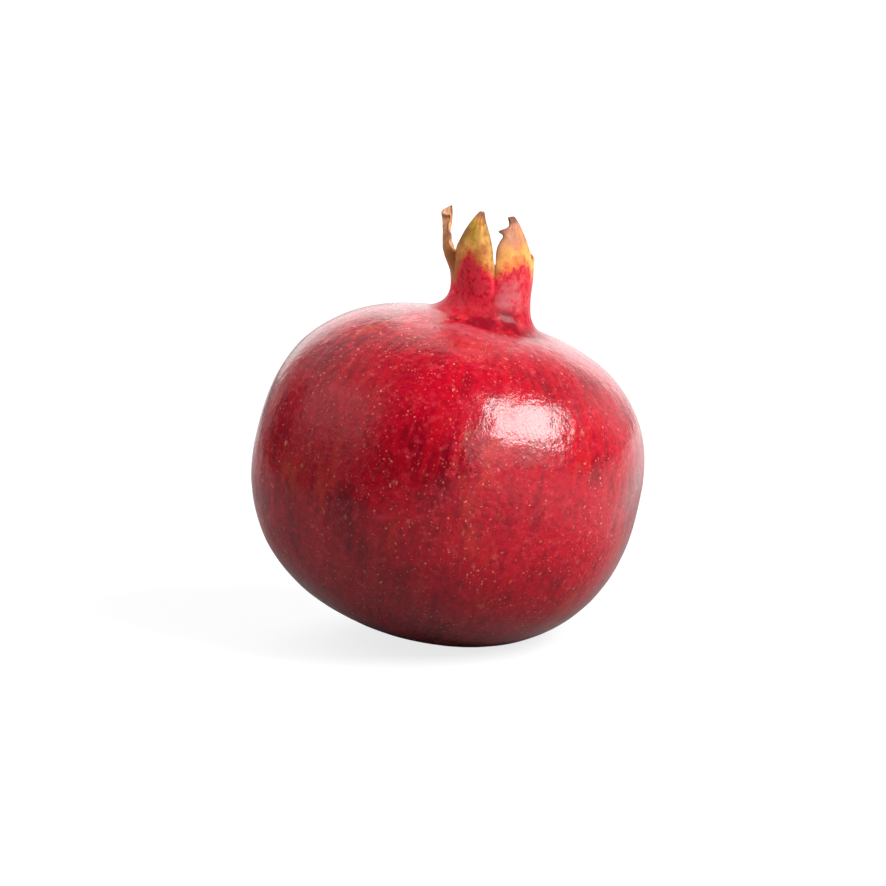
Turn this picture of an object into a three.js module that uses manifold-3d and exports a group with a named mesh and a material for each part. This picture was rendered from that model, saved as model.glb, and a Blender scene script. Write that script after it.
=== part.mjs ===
// A whole pomegranate as it comes off the tree, standing on a table.
//
// The rind is a broad rounded body that runs without a break into a short neck and a crown of six sepals.
// The body's axis leans a little, so the stalk end stands beside the small flat spot that the fruit rests
// on, and the crown rises nearly upright. The crown is an open cup: its wall splits at six notches into the
// sepals, and the dry tuft of stamens stands inside it. The woody stump of the stalk sits in a socket in
// the underside.
//
// Millimetres, +Z up. The origin is the middle of the flat spot, on the table. +X is the way the body leans.
// Angles round an axis are in degrees from +X towards +Y, so -90 faces the front.

import * as THREE from "three";
import { mergeVertices } from "three/addons/utils/BufferGeometryUtils.js";
import Module from "manifold-3d";

const { clamp, degToRad, lerp, smoothstep } = THREE.MathUtils;

// ---------- Driving dimensions ----------

// The body: two half superellipses back to back on its widest ring. A fullness of 2 is an ellipse.
const BODY_RADIUS = 48.2;
const UPPER_HEIGHT = 39.7;
const LOWER_HEIGHT = 41.2;
const UPPER_FULLNESS = 2.55;
const LOWER_FULLNESS = 2.25;
const BODY_LEAN = 14;
const BODY_CENTRE = new THREE.Vector3(-6.61, -0.29, 41.1);

// Six low ribs over the chambers inside, and a broad unevenness that leaves the two sides alike.
const RIB_COUNT = 6;
const RIB_HEIGHT = 0.55;
const RIB_TURN = 20;
const UNEVEN_TWO_SIDED = 0.2;
const UNEVEN_THREE_SIDED = 0.4;
const SWELLING_FADE = 1.5; // how fast both fade towards the ends of the axis, as a power

// The stalk end: a shallow basin round a socket, with the stump in it.
const BASIN_RADIUS = 6.6;
const BASIN_DEPTH = 1.2;
const SOCKET_RADIUS = 3.1;
const SOCKET_DEPTH = 3.6;
const STALK_GAP = 0.3;
const STALK_PROUD = 0.75;

// The neck and the cup, in the crown's own frame: its origin is on the top of the body. The body sweeps up
// into the neck from the shoulder radius to the fillet height. Against the lean the sweep is wider and
// higher.
const CROWN_SHIFT = 1.2;
const CROWN_LEAN = 1;
const SHOULDER_RADIUS = 15.5;
const SHOULDER_SPREAD = 3.5;
const FILLET_HEIGHT = 4.6;
const FILLET_RISE = 3.2;
const WAIST_RADIUS = 9.6;
const MOUTH_RADIUS = 10.2;
const MOUTH_HEIGHT = 11.7;
const CREASE_DEPTH = 0.45;
const CREASE_LENGTH = 7;
const WALL = 2.1;
const CUP_FLOOR_HEIGHT = 1.5;
const CUP_FLOOR_RADIUS = 5.6;

// The notches between the sepals, in order round the crown: where each one is and how high its bottom lies.
const NOTCHES = [
  { at: -156, height: 16.7 },
  { at: -87.5, height: 11.7 },
  { at: -18, height: 14.6 },
  { at: 38, height: 11.2 },
  { at: 83, height: 10.7 },
  { at: 143, height: 11.7 },
];

// Each sepal stands between two notches in that order. Its tip lies at height tip, moved round the crown by
// shift. flare carries it outward over its lower part and tilt moves its tip outward. The margins narrow
// from the notches to the tip as (1 - v^p)^q, the first pair of exponents on the margin that faces the
// notch before it. width is half the tip's width, and roll is the radius that its cross-section curls to.
// slant raises the tip's end towards its first margin, and pinch narrows the sepal to a waist.
const SEPALS = [
  {
    name: "front_left", tip: 27.3, shift: 1.7, flare: 0.3, tilt: -2.2,
    p: [1, 2.6], q: [1, 1.35], width: 0.65, roll: 9, slant: 0, pinch: 0,
  },
  {
    name: "front_right", tip: 26.1, shift: -0.95, flare: 0.3, tilt: -2,
    p: [5, 0.9], q: [4.7, 1], width: 0.85, roll: 8, slant: 0, pinch: 0,
  },
  {
    name: "right", tip: 16.9, shift: -0.8, flare: 0.35, tilt: -2.4,
    p: [1.6, 1.6], q: [1, 1], width: 0.8, roll: 8, slant: 0, pinch: 0,
  },
  {
    name: "back_right", tip: 18.3, shift: 0.6, flare: 0.2, tilt: -1,
    p: [1.4, 1.7], q: [1, 1], width: 0.8, roll: 9, slant: 0, pinch: 0,
  },
  {
    name: "back_left", tip: 18.9, shift: -0.4, flare: 0.5, tilt: -0.6,
    p: [1.5, 1.5], q: [1, 1], width: 0.8, roll: 9, slant: 0, pinch: 0,
  },
  {
    name: "left", tip: 26.8, shift: 0.4, flare: 2.1, tilt: 0.5,
    p: [1, 1], q: [2.1, 2.5], width: 3.9, roll: 2.5, slant: 1.7, pinch: 0.27,
  },
];
const FLARE_START = 10.7; // heights between which the sepals flare
const FLARE_END = 17.7;
const CURL_END = 0.42; // share of a sepal's height over which its cross-section curls
const WAIST_AT = 0.58; // share of a sepal's height at which its waist lies
const WAIST_SPREAD = 0.16; // share of a sepal's height over which the waist fades
const SLANT_START = 0.7; // share of a sepal's height from which its end slants
const SLANT_AFTER = 0.2; // how steep the slant is on the second margin's side, against the first's
const BLEND_END = 0.3; // share over which a sepal leaves the tube's round
const CRACK = 0.28; // what each margin gives up just above a notch
const CRACK_START = 0.15; // share of a sepal's height by which it has given it up
const MARGIN_THICKNESS = 1;
const TIP_THICKNESS = 1.1;
const TIP_ROW = 0.965; // share of a sepal's height where its blunt end begins

// The dry stamens: threads from a shallow bowl that lines the cup's floor, in rings round the style. Each
// thread's foot stands in the middle of one of the bowl's sides.
const TUFT_GAP = 0.35;
const BOWL_SIDES = 16;
const BOWL_THICKNESS = 0.9;
const BOWL_HEIGHT = 3.4;
const BOWL_FLARE = 0.25;
const THREAD_RADIUS = 0.36;
const ANTHER_RADIUS = 0.58;
const THREAD_RINGS = [
  { count: 16, root: 5, reach: 4.9, top: 11.6 },
  { count: 16, root: 3.4, reach: 3.5, top: 12.8 },
  { count: 8, root: 2, reach: 2, top: 11.2 },
];
const THREAD_SEED = 1;
const STYLE_RADIUS = 0.75;
const STYLE_TOP = 10.4;
const THREAD_SIDES = 3;
const THREAD_TAPER = [1, 1, 1, 0.9, 0.9]; // a thread's radius as a share, from its foot to below the anther

// Facets.
const COLUMNS_PER_SEPAL = 11;
const LOWER_RINGS = 14;
const UPPER_RINGS = 11;
const FILLET_RINGS = 5;
const NECK_RINGS = 3;
const SEPAL_ROWS = 8;
const CUP_RINGS = 5;

// ---------- Frames ----------

function leaningFrame(origin, lean) {
  return new THREE.Matrix4().makeRotationY(degToRad(lean)).setPosition(origin);
}

const bodyFrame = leaningFrame(BODY_CENTRE, BODY_LEAN);
const crownOrigin = new THREE.Vector3(CROWN_SHIFT, 0, UPPER_HEIGHT).applyMatrix4(bodyFrame);
const crownFrame = leaningFrame(crownOrigin, CROWN_LEAN);

// A point at a distance and an angle round a frame's axis, at a height along it.
function polar(frame, radius, angle, height) {
  const turn = degToRad(angle);
  return new THREE.Vector3(radius * Math.cos(turn), radius * Math.sin(turn), height).applyMatrix4(frame);
}

// ---------- Body ----------

// Distance from the axis and height on the body's meridian, at a latitude from -90 (stalk end) to 90 (top).
function meridian(latitude) {
  const [height, fullness] = latitude < 0 ? [LOWER_HEIGHT, LOWER_FULLNESS] : [UPPER_HEIGHT, UPPER_FULLNESS];
  const across = Math.cos(degToRad(latitude));
  const up = Math.sin(degToRad(latitude));
  const scale = (Math.abs(across) ** fullness + Math.abs(up) ** fullness) ** (-1 / fullness);
  return { radius: BODY_RADIUS * across * scale, height: height * up * scale };
}

// How far the ribs and the unevenness push the rind outward. It fades towards both ends of the axis.
function swelling(latitude, angle) {
  const fade = Math.cos(degToRad(latitude)) ** SWELLING_FADE;
  const ribs = RIB_HEIGHT * Math.cos(degToRad(RIB_COUNT * (angle - RIB_TURN)));
  const uneven =
    UNEVEN_TWO_SIDED * Math.sin(degToRad(2 * angle)) + UNEVEN_THREE_SIDED * Math.sin(degToRad(3 * angle));
  return fade * (ribs + uneven);
}

function bodyPoint(latitude, angle) {
  const { radius, height } = meridian(latitude);
  const basin = latitude < 0 ? BASIN_DEPTH * (1 - smoothstep(radius, SOCKET_RADIUS, BASIN_RADIUS)) : 0;
  return polar(bodyFrame, radius + swelling(latitude, angle), angle, height + basin);
}

// The latitude on the upper or lower half where the meridian has a given distance from the axis.
function latitudeAt(radius, half) {
  let [low, high] = [0, 90];
  for (let step = 0; step < 40; step++) {
    const middle = (low + high) / 2;
    if (meridian(half * middle).radius > radius) low = middle;
    else high = middle;
  }
  return half * low;
}

// ---------- Neck and cup wall ----------

// The place of an angle among the notches: the sepal's index, and how far along it lies from 0 to 1.
function sepalAt(angle) {
  const from = NOTCHES[0].at;
  const turned = from + ((((angle - from) % 360) + 360) % 360);
  const index = NOTCHES.findLastIndex((notch) => notch.at <= turned);
  const next = NOTCHES[index + 1]?.at ?? from + 360;
  return { index, share: (turned - NOTCHES[index].at) / (next - NOTCHES[index].at) };
}

// The height at which the tube becomes sepals, running smoothly from notch to notch.
function rimHeight(angle) {
  const { index, share } = sepalAt(angle);
  const next = NOTCHES[(index + 1) % NOTCHES.length];
  return lerp(NOTCHES[index].height, next.height, smoothstep(share, 0, 1));
}

// The tube's outside: a waist that widens to the mouth, starting to flare below the middle of each sepal,
// with a crease running down from each notch.
function tubeRadius(angle, height) {
  const { index, share } = sepalAt(angle);
  const nearNotch = (2 * Math.abs(share - 0.5)) ** 6;
  const depth = CREASE_DEPTH * smoothstep(height, rimHeight(angle) - CREASE_LENGTH, rimHeight(angle));
  const flare = SEPALS[index].flare * smoothstep(height, FLARE_START, FLARE_END);
  const widening = smoothstep(height, MOUTH_HEIGHT / 3, MOUTH_HEIGHT);
  return lerp(WAIST_RADIUS, MOUTH_RADIUS, widening) + lerp(flare, -depth, nearNotch);
}

// The height in the crown's frame at which the waist would pierce the body's top.
function shoulderHeight(angle) {
  const top = bodyPoint(latitudeAt(WAIST_RADIUS, 1), angle);
  return top.applyMatrix4(crownFrame.clone().invert()).z;
}

// 1 on the side that the body leans away from, easing to 0 on the other.
function againstLean(angle) {
  return (0.5 - 0.5 * Math.cos(degToRad(angle))) ** 3;
}

// The latitude where the fillet starts, and the height where it ends on the tube.
function filletStart(angle) {
  return latitudeAt(SHOULDER_RADIUS + SHOULDER_SPREAD * againstLean(angle), 1);
}

function filletEnd(angle) {
  return shoulderHeight(angle) + FILLET_HEIGHT + FILLET_RISE * againstLean(angle);
}

// A quadratic curve from the shoulder to the tube, with its corner where the two would meet.
function filletPoint(angle, t) {
  const start = bodyPoint(filletStart(angle), angle);
  const corner = polar(crownFrame, WAIST_RADIUS, angle, shoulderHeight(angle));
  const top = filletEnd(angle);
  const end = polar(crownFrame, tubeRadius(angle, top), angle, top);
  return new THREE.QuadraticBezierCurve3(start, corner, end).getPoint(t);
}

function neckPoint(angle, t) {
  const height = lerp(filletEnd(angle), rimHeight(angle), t);
  return polar(crownFrame, tubeRadius(angle, height), angle, height);
}

// The cup's inside, from the rim down to the edge of its floor.
function cupPoint(angle, t) {
  const height = lerp(rimHeight(angle), CUP_FLOOR_HEIGHT, t);
  const rimRadius = tubeRadius(angle, rimHeight(angle)) - WALL;
  const radius = lerp(rimRadius, CUP_FLOOR_RADIUS, t ** 3);
  return polar(crownFrame, radius, angle, height);
}

// ---------- Sepals ----------

function sepalSpan(index) {
  const from = NOTCHES[index];
  const to = NOTCHES[index + 1] ?? { ...NOTCHES[0], at: NOTCHES[0].at + 360 };
  return { from, to, facing: (from.at + to.at) / 2, half: degToRad(to.at - from.at) / 2 };
}

// Half the sepal's width, measured along its curve, on the margin side at u = -1 or u = 1.
function halfWidth(sepal, span, side, v) {
  const which = side < 0 ? 0 : 1;
  const full = MOUTH_RADIUS * span.half;
  const narrowing = (1 - v ** sepal.p[which]) ** sepal.q[which];
  const crack = CRACK * smoothstep(v, 0, CRACK_START) * (1 - v);
  const waist = 1 - sepal.pinch * Math.exp(-(((v - WAIST_AT) / WAIST_SPREAD) ** 2));
  return (sepal.width + (full - sepal.width) * narrowing) * waist - crack;
}

// The sepal's outer face: u runs from -1 to 1 across it, v from 0 at the rim to 1 at the tip.
function sepalPoint(index, u, v) {
  const sepal = SEPALS[index];
  const span = sepalSpan(index);
  const angle = lerp(span.from.at, span.to.at, (u + 1) / 2);
  const lean = Math.max(-u, 0) - SLANT_AFTER * Math.max(u, 0) - 0.5;
  const rise = sepal.slant * lean * smoothstep(v, SLANT_START, 1);
  const height = lerp(rimHeight(angle), sepal.tip, v) + rise;
  const bend = lerp(MOUTH_RADIUS, sepal.roll, smoothstep(v, 0, CURL_END));
  const along = u * halfWidth(sepal, span, u, v);
  const flare = sepal.flare * smoothstep(height, FLARE_START, FLARE_END);
  const outward = MOUTH_RADIUS + flare + sepal.tilt * v ** 3 - bend * (1 - Math.cos(along / bend));
  const sideways = bend * Math.sin(along / bend) + sepal.shift * v ** 1.5;
  const facing = degToRad(span.facing);
  const free = new THREE.Vector3(
    outward * Math.cos(facing) - sideways * Math.sin(facing),
    outward * Math.sin(facing) + sideways * Math.cos(facing),
    height,
  ).applyMatrix4(crownFrame);
  const onTube = polar(crownFrame, tubeRadius(angle, height), angle, height);
  return onTube.lerp(free, smoothstep(v, 0, BLEND_END));
}

// The inner face lies under the outer one, square to it, by a thickness that thins towards the margins and
// tip.
function sepalInnerPoint(index, u, v) {
  const step = 0.01;
  const at = (across, up) => sepalPoint(index, clamp(u + across, -1, 1), clamp(v + up, 0, 1));
  const across = at(step, 0).sub(at(-step, 0));
  const up = at(0, step).sub(at(0, -step));
  const square = across.cross(up).normalize();
  const { from, to } = sepalSpan(index);
  const radial = polar(crownFrame, 1, lerp(from.at, to.at, (u + 1) / 2), 0).sub(crownOrigin);
  const outward = radial.lerp(square, smoothstep(v, 0, BLEND_END)).normalize();
  const middle = lerp(WALL, TIP_THICKNESS, smoothstep(v, 0, 0.8));
  const edge = lerp(WALL, MARGIN_THICKNESS, smoothstep(v, 0, 0.12));
  return sepalPoint(index, u, v).addScaledVector(outward, -lerp(middle, edge, Math.abs(u) ** 3));
}

// ---------- Meshing ----------

// Collects vertices and faces. A row is a list of vertex numbers.
class Surface {
  positions = [];
  faces = [];

  vertex(point) {
    this.positions.push(point.x, point.y, point.z);
    return this.positions.length / 3 - 1;
  }

  row(points) {
    return points.map((point) => this.vertex(point));
  }

  quad(a, b, c, d) {
    this.faces.push(a, b, c, a, c, d);
  }

  // Joins two rows that run the same way, the second above the first when seen from outside.
  strip(lower, upper, closed) {
    const last = closed ? lower.length : lower.length - 1;
    for (let i = 0; i < last; i++) {
      const next = (i + 1) % lower.length;
      this.quad(lower[i], lower[next], upper[next], upper[i]);
    }
  }

  // Joins a row to one point above it.
  fan(row, tip, closed) {
    const last = closed ? row.length : row.length - 1;
    for (let i = 0; i < last; i++) this.faces.push(row[i], row[(i + 1) % row.length], tip);
  }

  geometry() {
    const made = new THREE.BufferGeometry();
    made.setAttribute("position", new THREE.Float32BufferAttribute(this.positions, 3));
    made.setIndex(this.faces);
    return made;
  }
}

// The angles of the mesh's columns: the same number on each sepal, evenly spread between its notches.
const columnAngles = SEPALS.flatMap((_, index) => {
  const { from, to } = sepalSpan(index);
  return Array.from({ length: COLUMNS_PER_SEPAL }, (_, i) => lerp(from.at, to.at, i / COLUMNS_PER_SEPAL));
});

function ring(pointAt) {
  return columnAngles.map(pointAt);
}

// ---------- The rind, neck and sepals ----------

// All the outside's rings from the socket's bottom to the rim.
function outsideRings() {
  const foot = latitudeAt(SOCKET_RADIUS, -1);
  const rings = [ring((angle) => polar(bodyFrame, SOCKET_RADIUS, angle, SOCKET_DEPTH - LOWER_HEIGHT))];
  for (let i = 0; i < LOWER_RINGS; i++) {
    rings.push(ring((angle) => bodyPoint(foot * (1 - i / LOWER_RINGS) ** 0.75, angle)));
  }
  for (let i = 0; i < UPPER_RINGS; i++) {
    rings.push(ring((angle) => bodyPoint((filletStart(angle) * i) / UPPER_RINGS, angle)));
  }
  for (let i = 0; i < FILLET_RINGS; i++) rings.push(ring((angle) => filletPoint(angle, i / FILLET_RINGS)));
  for (let i = 0; i <= NECK_RINGS; i++) rings.push(ring((angle) => neckPoint(angle, i / NECK_RINGS)));
  return rings;
}

function addSepal(surface, index, outerRim, innerRim) {
  const first = index * COLUMNS_PER_SEPAL;
  const columns = Array.from({ length: COLUMNS_PER_SEPAL + 1 }, (_, i) => (first + i) % columnAngles.length);
  const across = columns.map((_, i) => (2 * i) / COLUMNS_PER_SEPAL - 1);
  let outer = columns.map((column) => outerRim[column]);
  let inner = columns.map((column) => innerRim[column]);
  for (let i = 1; i <= SEPAL_ROWS; i++) {
    const v = (TIP_ROW * i) / SEPAL_ROWS;
    const nextOuter = surface.row(across.map((u) => sepalPoint(index, u, v)));
    const nextInner = surface.row(across.map((u) => sepalInnerPoint(index, u, v)));
    surface.strip(outer, nextOuter, false);
    surface.strip(nextInner, inner, false);
    surface.quad(inner[0], outer[0], nextOuter[0], nextInner[0]);
    surface.quad(outer.at(-1), inner.at(-1), nextInner.at(-1), nextOuter.at(-1));
    [outer, inner] = [nextOuter, nextInner];
  }
  const outerTip = surface.vertex(sepalPoint(index, 0, 1));
  const innerTip = surface.vertex(sepalInnerPoint(index, 0, 1));
  surface.fan(outer, outerTip, false);
  surface.fan([...inner].reverse(), innerTip, false);
  surface.quad(inner[0], outer[0], outerTip, innerTip);
  surface.quad(outer.at(-1), inner.at(-1), innerTip, outerTip);
}

function fruitGeometry() {
  const surface = new Surface();
  const rings = outsideRings().map((points) => surface.row(points));
  const socketEnd = surface.vertex(polar(bodyFrame, 0, 0, SOCKET_DEPTH - LOWER_HEIGHT));
  surface.fan([...rings[0]].reverse(), socketEnd, true);
  for (let i = 1; i < rings.length; i++) surface.strip(rings[i - 1], rings[i], true);

  const outerRim = rings.at(-1);
  const cup = Array.from({ length: CUP_RINGS + 1 }, (_, i) =>
    surface.row(ring((angle) => cupPoint(angle, i / CUP_RINGS))),
  );
  SEPALS.forEach((_, index) => addSepal(surface, index, outerRim, cup[0]));
  for (let i = 1; i < cup.length; i++) surface.strip(cup[i - 1], cup[i], true);
  const cupCentre = surface.vertex(polar(crownFrame, 0, 0, CUP_FLOOR_HEIGHT));
  surface.fan(cup.at(-1), cupCentre, true);
  return surface.geometry();
}

// ---------- Booleans ----------

const wasm = await Module();
wasm.setup();

function toSolid(geometry) {
  const bare = geometry.clone();
  bare.deleteAttribute("normal");
  bare.deleteAttribute("uv");
  const merged = mergeVertices(bare, 1e-4);
  return new wasm.Manifold(
    new wasm.Mesh({
      numProp: 3,
      vertProperties: new Float32Array(merged.attributes.position.array),
      triVerts: new Uint32Array(merged.index.array),
    }),
  );
}

function toGeometry(solid) {
  const mesh = solid.getMesh();
  const made = new THREE.BufferGeometry();
  made.setAttribute("position", new THREE.BufferAttribute(mesh.vertProperties, 3));
  made.setIndex(new THREE.BufferAttribute(mesh.triVerts, 1));
  return made;
}

// What the table takes off: everything of the body that would lie below z = 0.
function restingOnTable(geometry) {
  const depth = 10;
  const table = new THREE.BoxGeometry(4 * BODY_RADIUS, 4 * BODY_RADIUS, depth).translate(0, 0, -depth / 2);
  return toGeometry(toSolid(geometry).subtract(toSolid(table)));
}

// ---------- Stalk stump ----------

// A short woody peg, a little oval and grooved, whose cut end stands just proud of the basin.
function stalkGeometry() {
  const sides = 20;
  const radius = SOCKET_RADIUS - STALK_GAP;
  const inner = SOCKET_DEPTH - LOWER_HEIGHT - STALK_GAP;
  const outer = BASIN_DEPTH - LOWER_HEIGHT - STALK_PROUD;
  const levels = [
    { height: outer, share: 0.84 },
    { height: outer + 0.4, share: 0.97 },
    { height: (outer + inner) / 2, share: 1 },
    { height: inner, share: 0.9 },
  ];
  const surface = new Surface();
  const rows = levels.map(({ height, share }) =>
    surface.row(
      Array.from({ length: sides }, (_, i) => {
        const angle = (360 * i) / sides;
        const groove = 1 - 0.05 * (1 + Math.cos(degToRad(5 * angle)));
        return polar(bodyFrame, radius * share * groove, angle, height);
      }),
    ),
  );
  surface.fan([...rows[0]].reverse(), surface.vertex(polar(bodyFrame, 0, 0, outer + 0.15)), true);
  for (let i = 1; i < rows.length; i++) surface.strip(rows[i - 1], rows[i], true);
  surface.fan(rows.at(-1), surface.vertex(polar(bodyFrame, 0, 0, inner)), true);
  return surface.geometry();
}

// ---------- Stamens ----------

// The bowl that the threads grow from, with the style standing in its middle: one profile turned round the
// axis.
function bowlGeometry() {
  const floor = CUP_FLOOR_HEIGHT + TUFT_GAP;
  const edge = CUP_FLOOR_RADIUS - TUFT_GAP;
  const lip = edge + BOWL_FLARE;
  const profile = [
    { radius: edge, height: floor },
    { radius: lip, height: floor + 1 },
    { radius: lip, height: floor + BOWL_HEIGHT },
    { radius: lip - BOWL_THICKNESS, height: floor + BOWL_HEIGHT },
    { radius: edge - BOWL_THICKNESS, height: floor + 1.6 },
    { radius: STYLE_RADIUS, height: floor + BOWL_THICKNESS },
    { radius: 0.8 * STYLE_RADIUS, height: STYLE_TOP - 2 },
    { radius: 1.3 * STYLE_RADIUS, height: STYLE_TOP - 0.6 },
  ];
  const surface = new Surface();
  const rows = profile.map(({ radius, height }) =>
    surface.row(
      Array.from({ length: BOWL_SIDES }, (_, i) => {
        const angle = (360 * (i + 0.5)) / BOWL_SIDES;
        return polar(crownFrame, radius, angle, height);
      }),
    ),
  );
  surface.fan([...rows[0]].reverse(), surface.vertex(polar(crownFrame, 0, 0, floor)), true);
  for (let i = 1; i < rows.length; i++) surface.strip(rows[i - 1], rows[i], true);
  surface.fan(rows.at(-1), surface.vertex(polar(crownFrame, 0, 0, STYLE_TOP)), true);
  return surface.geometry();
}

// A thread of a few flat sides along a curve, with its radius at each step, closed to a point at both ends.
function threadGeometry(curve, radii) {
  const surface = new Surface();
  const side = new THREE.Vector3();
  const rows = radii.map((radius, i) => {
    const t = (i + 0.5) / radii.length;
    const middle = curve.getPoint(t);
    const along = curve.getTangent(t);
    side.set(along.y, -along.x, 0.3).cross(along).normalize();
    const other = along.clone().cross(side);
    return surface.row(
      Array.from({ length: THREAD_SIDES }, (_, k) => {
        const turn = (2 * Math.PI * k) / THREAD_SIDES;
        const point = middle.clone().addScaledVector(side, radius * Math.cos(turn));
        return point.addScaledVector(other, radius * Math.sin(turn));
      }),
    );
  });
  surface.fan([...rows[0]].reverse(), surface.vertex(curve.getPoint(0)), true);
  for (let i = 1; i < rows.length; i++) surface.strip(rows[i - 1], rows[i], true);
  surface.fan(rows.at(-1), surface.vertex(curve.getPoint(1)), true);
  return surface.geometry();
}

// A repeatable draw between -1 and 1 for the n-th thread.
function draw(n, use) {
  const x = Math.sin(n * 127.1 + use * 311.7 + THREAD_SEED) * 43758.5453;
  return 2 * (x - Math.floor(x)) - 1;
}

// The stamens of one ring: each leans out, then hooks back towards the middle.
function stamenThreads({ count, root, reach, top }, ringIndex) {
  const floor = CUP_FLOOR_HEIGHT + TUFT_GAP;
  return Array.from({ length: count }, (_, i) => {
    const n = 100 * ringIndex + i;
    const angle = (360 * i) / count;
    const height = top - 1 + 1.3 * draw(n, 1);
    const curve = new THREE.CatmullRomCurve3([
      polar(crownFrame, root - 0.3, angle, floor + 0.5),
      polar(crownFrame, root, angle, floor + 3),
      polar(crownFrame, reach + 0.4, angle + 8 * draw(n, 2), lerp(floor, height, 0.65)),
      polar(crownFrame, reach + 0.3 * draw(n, 3), angle + 10 * draw(n, 4), height),
      polar(crownFrame, reach - 0.8 + 0.3 * draw(n, 5), angle + 12 * draw(n, 6), height + 0.1),
    ]);
    const radii = [...THREAD_TAPER.map((share) => share * THREAD_RADIUS), ANTHER_RADIUS];
    return threadGeometry(curve, radii);
  });
}

function stamensGeometry() {
  const threads = THREAD_RINGS.flatMap(stamenThreads);
  return toGeometry(threads.reduce((whole, one) => whole.add(toSolid(one)), toSolid(bowlGeometry())));
}

// ---------- Assembly ----------

function namedMesh(name, geometry, material) {
  const mesh = new THREE.Mesh(geometry, material);
  mesh.name = name;
  return mesh;
}

const rindRed = new THREE.MeshStandardMaterial({ color: 0xa3121f, roughness: 0.3, metalness: 0 });
const dryBrown = new THREE.MeshStandardMaterial({ color: 0x8a5a2e, roughness: 0.85, metalness: 0 });
const cutWood = new THREE.MeshStandardMaterial({ color: 0x7a5a3a, roughness: 0.8, metalness: 0 });

const pomegranate = new THREE.Group();
pomegranate.add(
  namedMesh("fruit", restingOnTable(fruitGeometry()), rindRed),
  namedMesh("stamens", stamensGeometry(), dryBrown),
  namedMesh("stalk", stalkGeometry(), cutWood),
);

export default pomegranate;
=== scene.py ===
"""A whole pomegranate on a pale table, finished for the studio.

The rind, neck and crown are one surface. Rings round the body's leaning axis run over the shoulder into the
neck, and from the rim each sepal is a grid of its own. Inside the crown stand the dry stamens, and the stump
of the stalk sits in the underside. Surfaces are worked out in millimetres, with the same sizes as the solids,
and put into the meshes in metres. Angles round an axis are in degrees from +X towards +Y, so -90 faces the
front. A pair of numbers such as FLARING is the range over which a smooth step rises.
"""

import functools
import itertools

import bpy
import numpy as np
from mathutils import Matrix, Vector


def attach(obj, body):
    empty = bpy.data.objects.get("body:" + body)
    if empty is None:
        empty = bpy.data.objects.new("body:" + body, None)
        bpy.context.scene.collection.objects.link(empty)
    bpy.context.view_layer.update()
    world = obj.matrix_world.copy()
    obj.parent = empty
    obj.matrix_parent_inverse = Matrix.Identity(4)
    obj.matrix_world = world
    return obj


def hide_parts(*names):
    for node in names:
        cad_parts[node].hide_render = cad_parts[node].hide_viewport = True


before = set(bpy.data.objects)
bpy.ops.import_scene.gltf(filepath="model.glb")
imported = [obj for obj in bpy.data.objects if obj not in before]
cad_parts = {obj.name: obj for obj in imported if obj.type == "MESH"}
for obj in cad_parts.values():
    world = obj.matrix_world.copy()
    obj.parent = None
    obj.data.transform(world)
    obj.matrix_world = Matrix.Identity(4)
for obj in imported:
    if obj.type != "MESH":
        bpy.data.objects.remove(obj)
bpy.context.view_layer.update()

MM = 0.001

# ---------- Sizes of the body, in millimetres ----------

BODY_RADIUS = 48.2
UPPER_HEIGHT = 39.7
LOWER_HEIGHT = 41.2
UPPER_FULLNESS = 2.55
LOWER_FULLNESS = 2.25
BODY_LEAN = 14
BODY_CENTRE = np.array([-6.61, -0.29, 41.1])
RIB_COUNT = 6
RIB_HEIGHT = 0.55
RIB_TURN = 20
UNEVEN_TWO_SIDED = 0.2
UNEVEN_THREE_SIDED = 0.4
SWELLING_FADE = 1.5

BASIN_RADIUS = 6.6
BASIN_DEPTH = 1.2
SOCKET_RADIUS = 3.1
SOCKET_DEPTH = 3.6
STALK_GAP = 0.3
STALK_PROUD = 0.75

# Relief of the skin: spacing, height and seed of each kind of unevenness, the dents and the puckers. Its
# direction turns from the body's to the neck's over these heights in the crown's frame.
RELIEF = [(11, 0.12, 3), (3.2, 0.035, 5)]
RELIEF_TURNING = (-2, 6)

# ---------- Sizes of the crown, in the crown's own frame ----------

CROWN_SHIFT = 1.2
CROWN_LEAN = 1
SHOULDER_RADIUS = 15.5
SHOULDER_SPREAD = 3.5
FILLET_HEIGHT = 4.6
FILLET_RISE = 3.2
WAIST_RADIUS = 9.6
MOUTH_RADIUS = 10.2
MOUTH_HEIGHT = 11.7
WIDENING = (MOUTH_HEIGHT / 3, MOUTH_HEIGHT)
CREASE_DEPTH = 0.45
CREASE_LENGTH = 7
CREASE_SHARPNESS = 6
WALL = 2.1
CUP_FLOOR_HEIGHT = 1.5
CUP_FLOOR_RADIUS = 5.6

# Where each notch between two sepals is, and how high its bottom lies, in order round the crown.
NOTCH_ANGLES = np.array([-156, -87.5, -18, 38, 83, 143, 204])
NOTCH_HEIGHTS = np.array([16.7, 11.7, 14.6, 11.2, 10.7, 11.7, 16.7])

# How high the neck's red reaches at each notch.
NOTCH_REDS = np.array([9.2, 11.4, 10.8, 9, 9, 8.6, 9.2])

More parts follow.
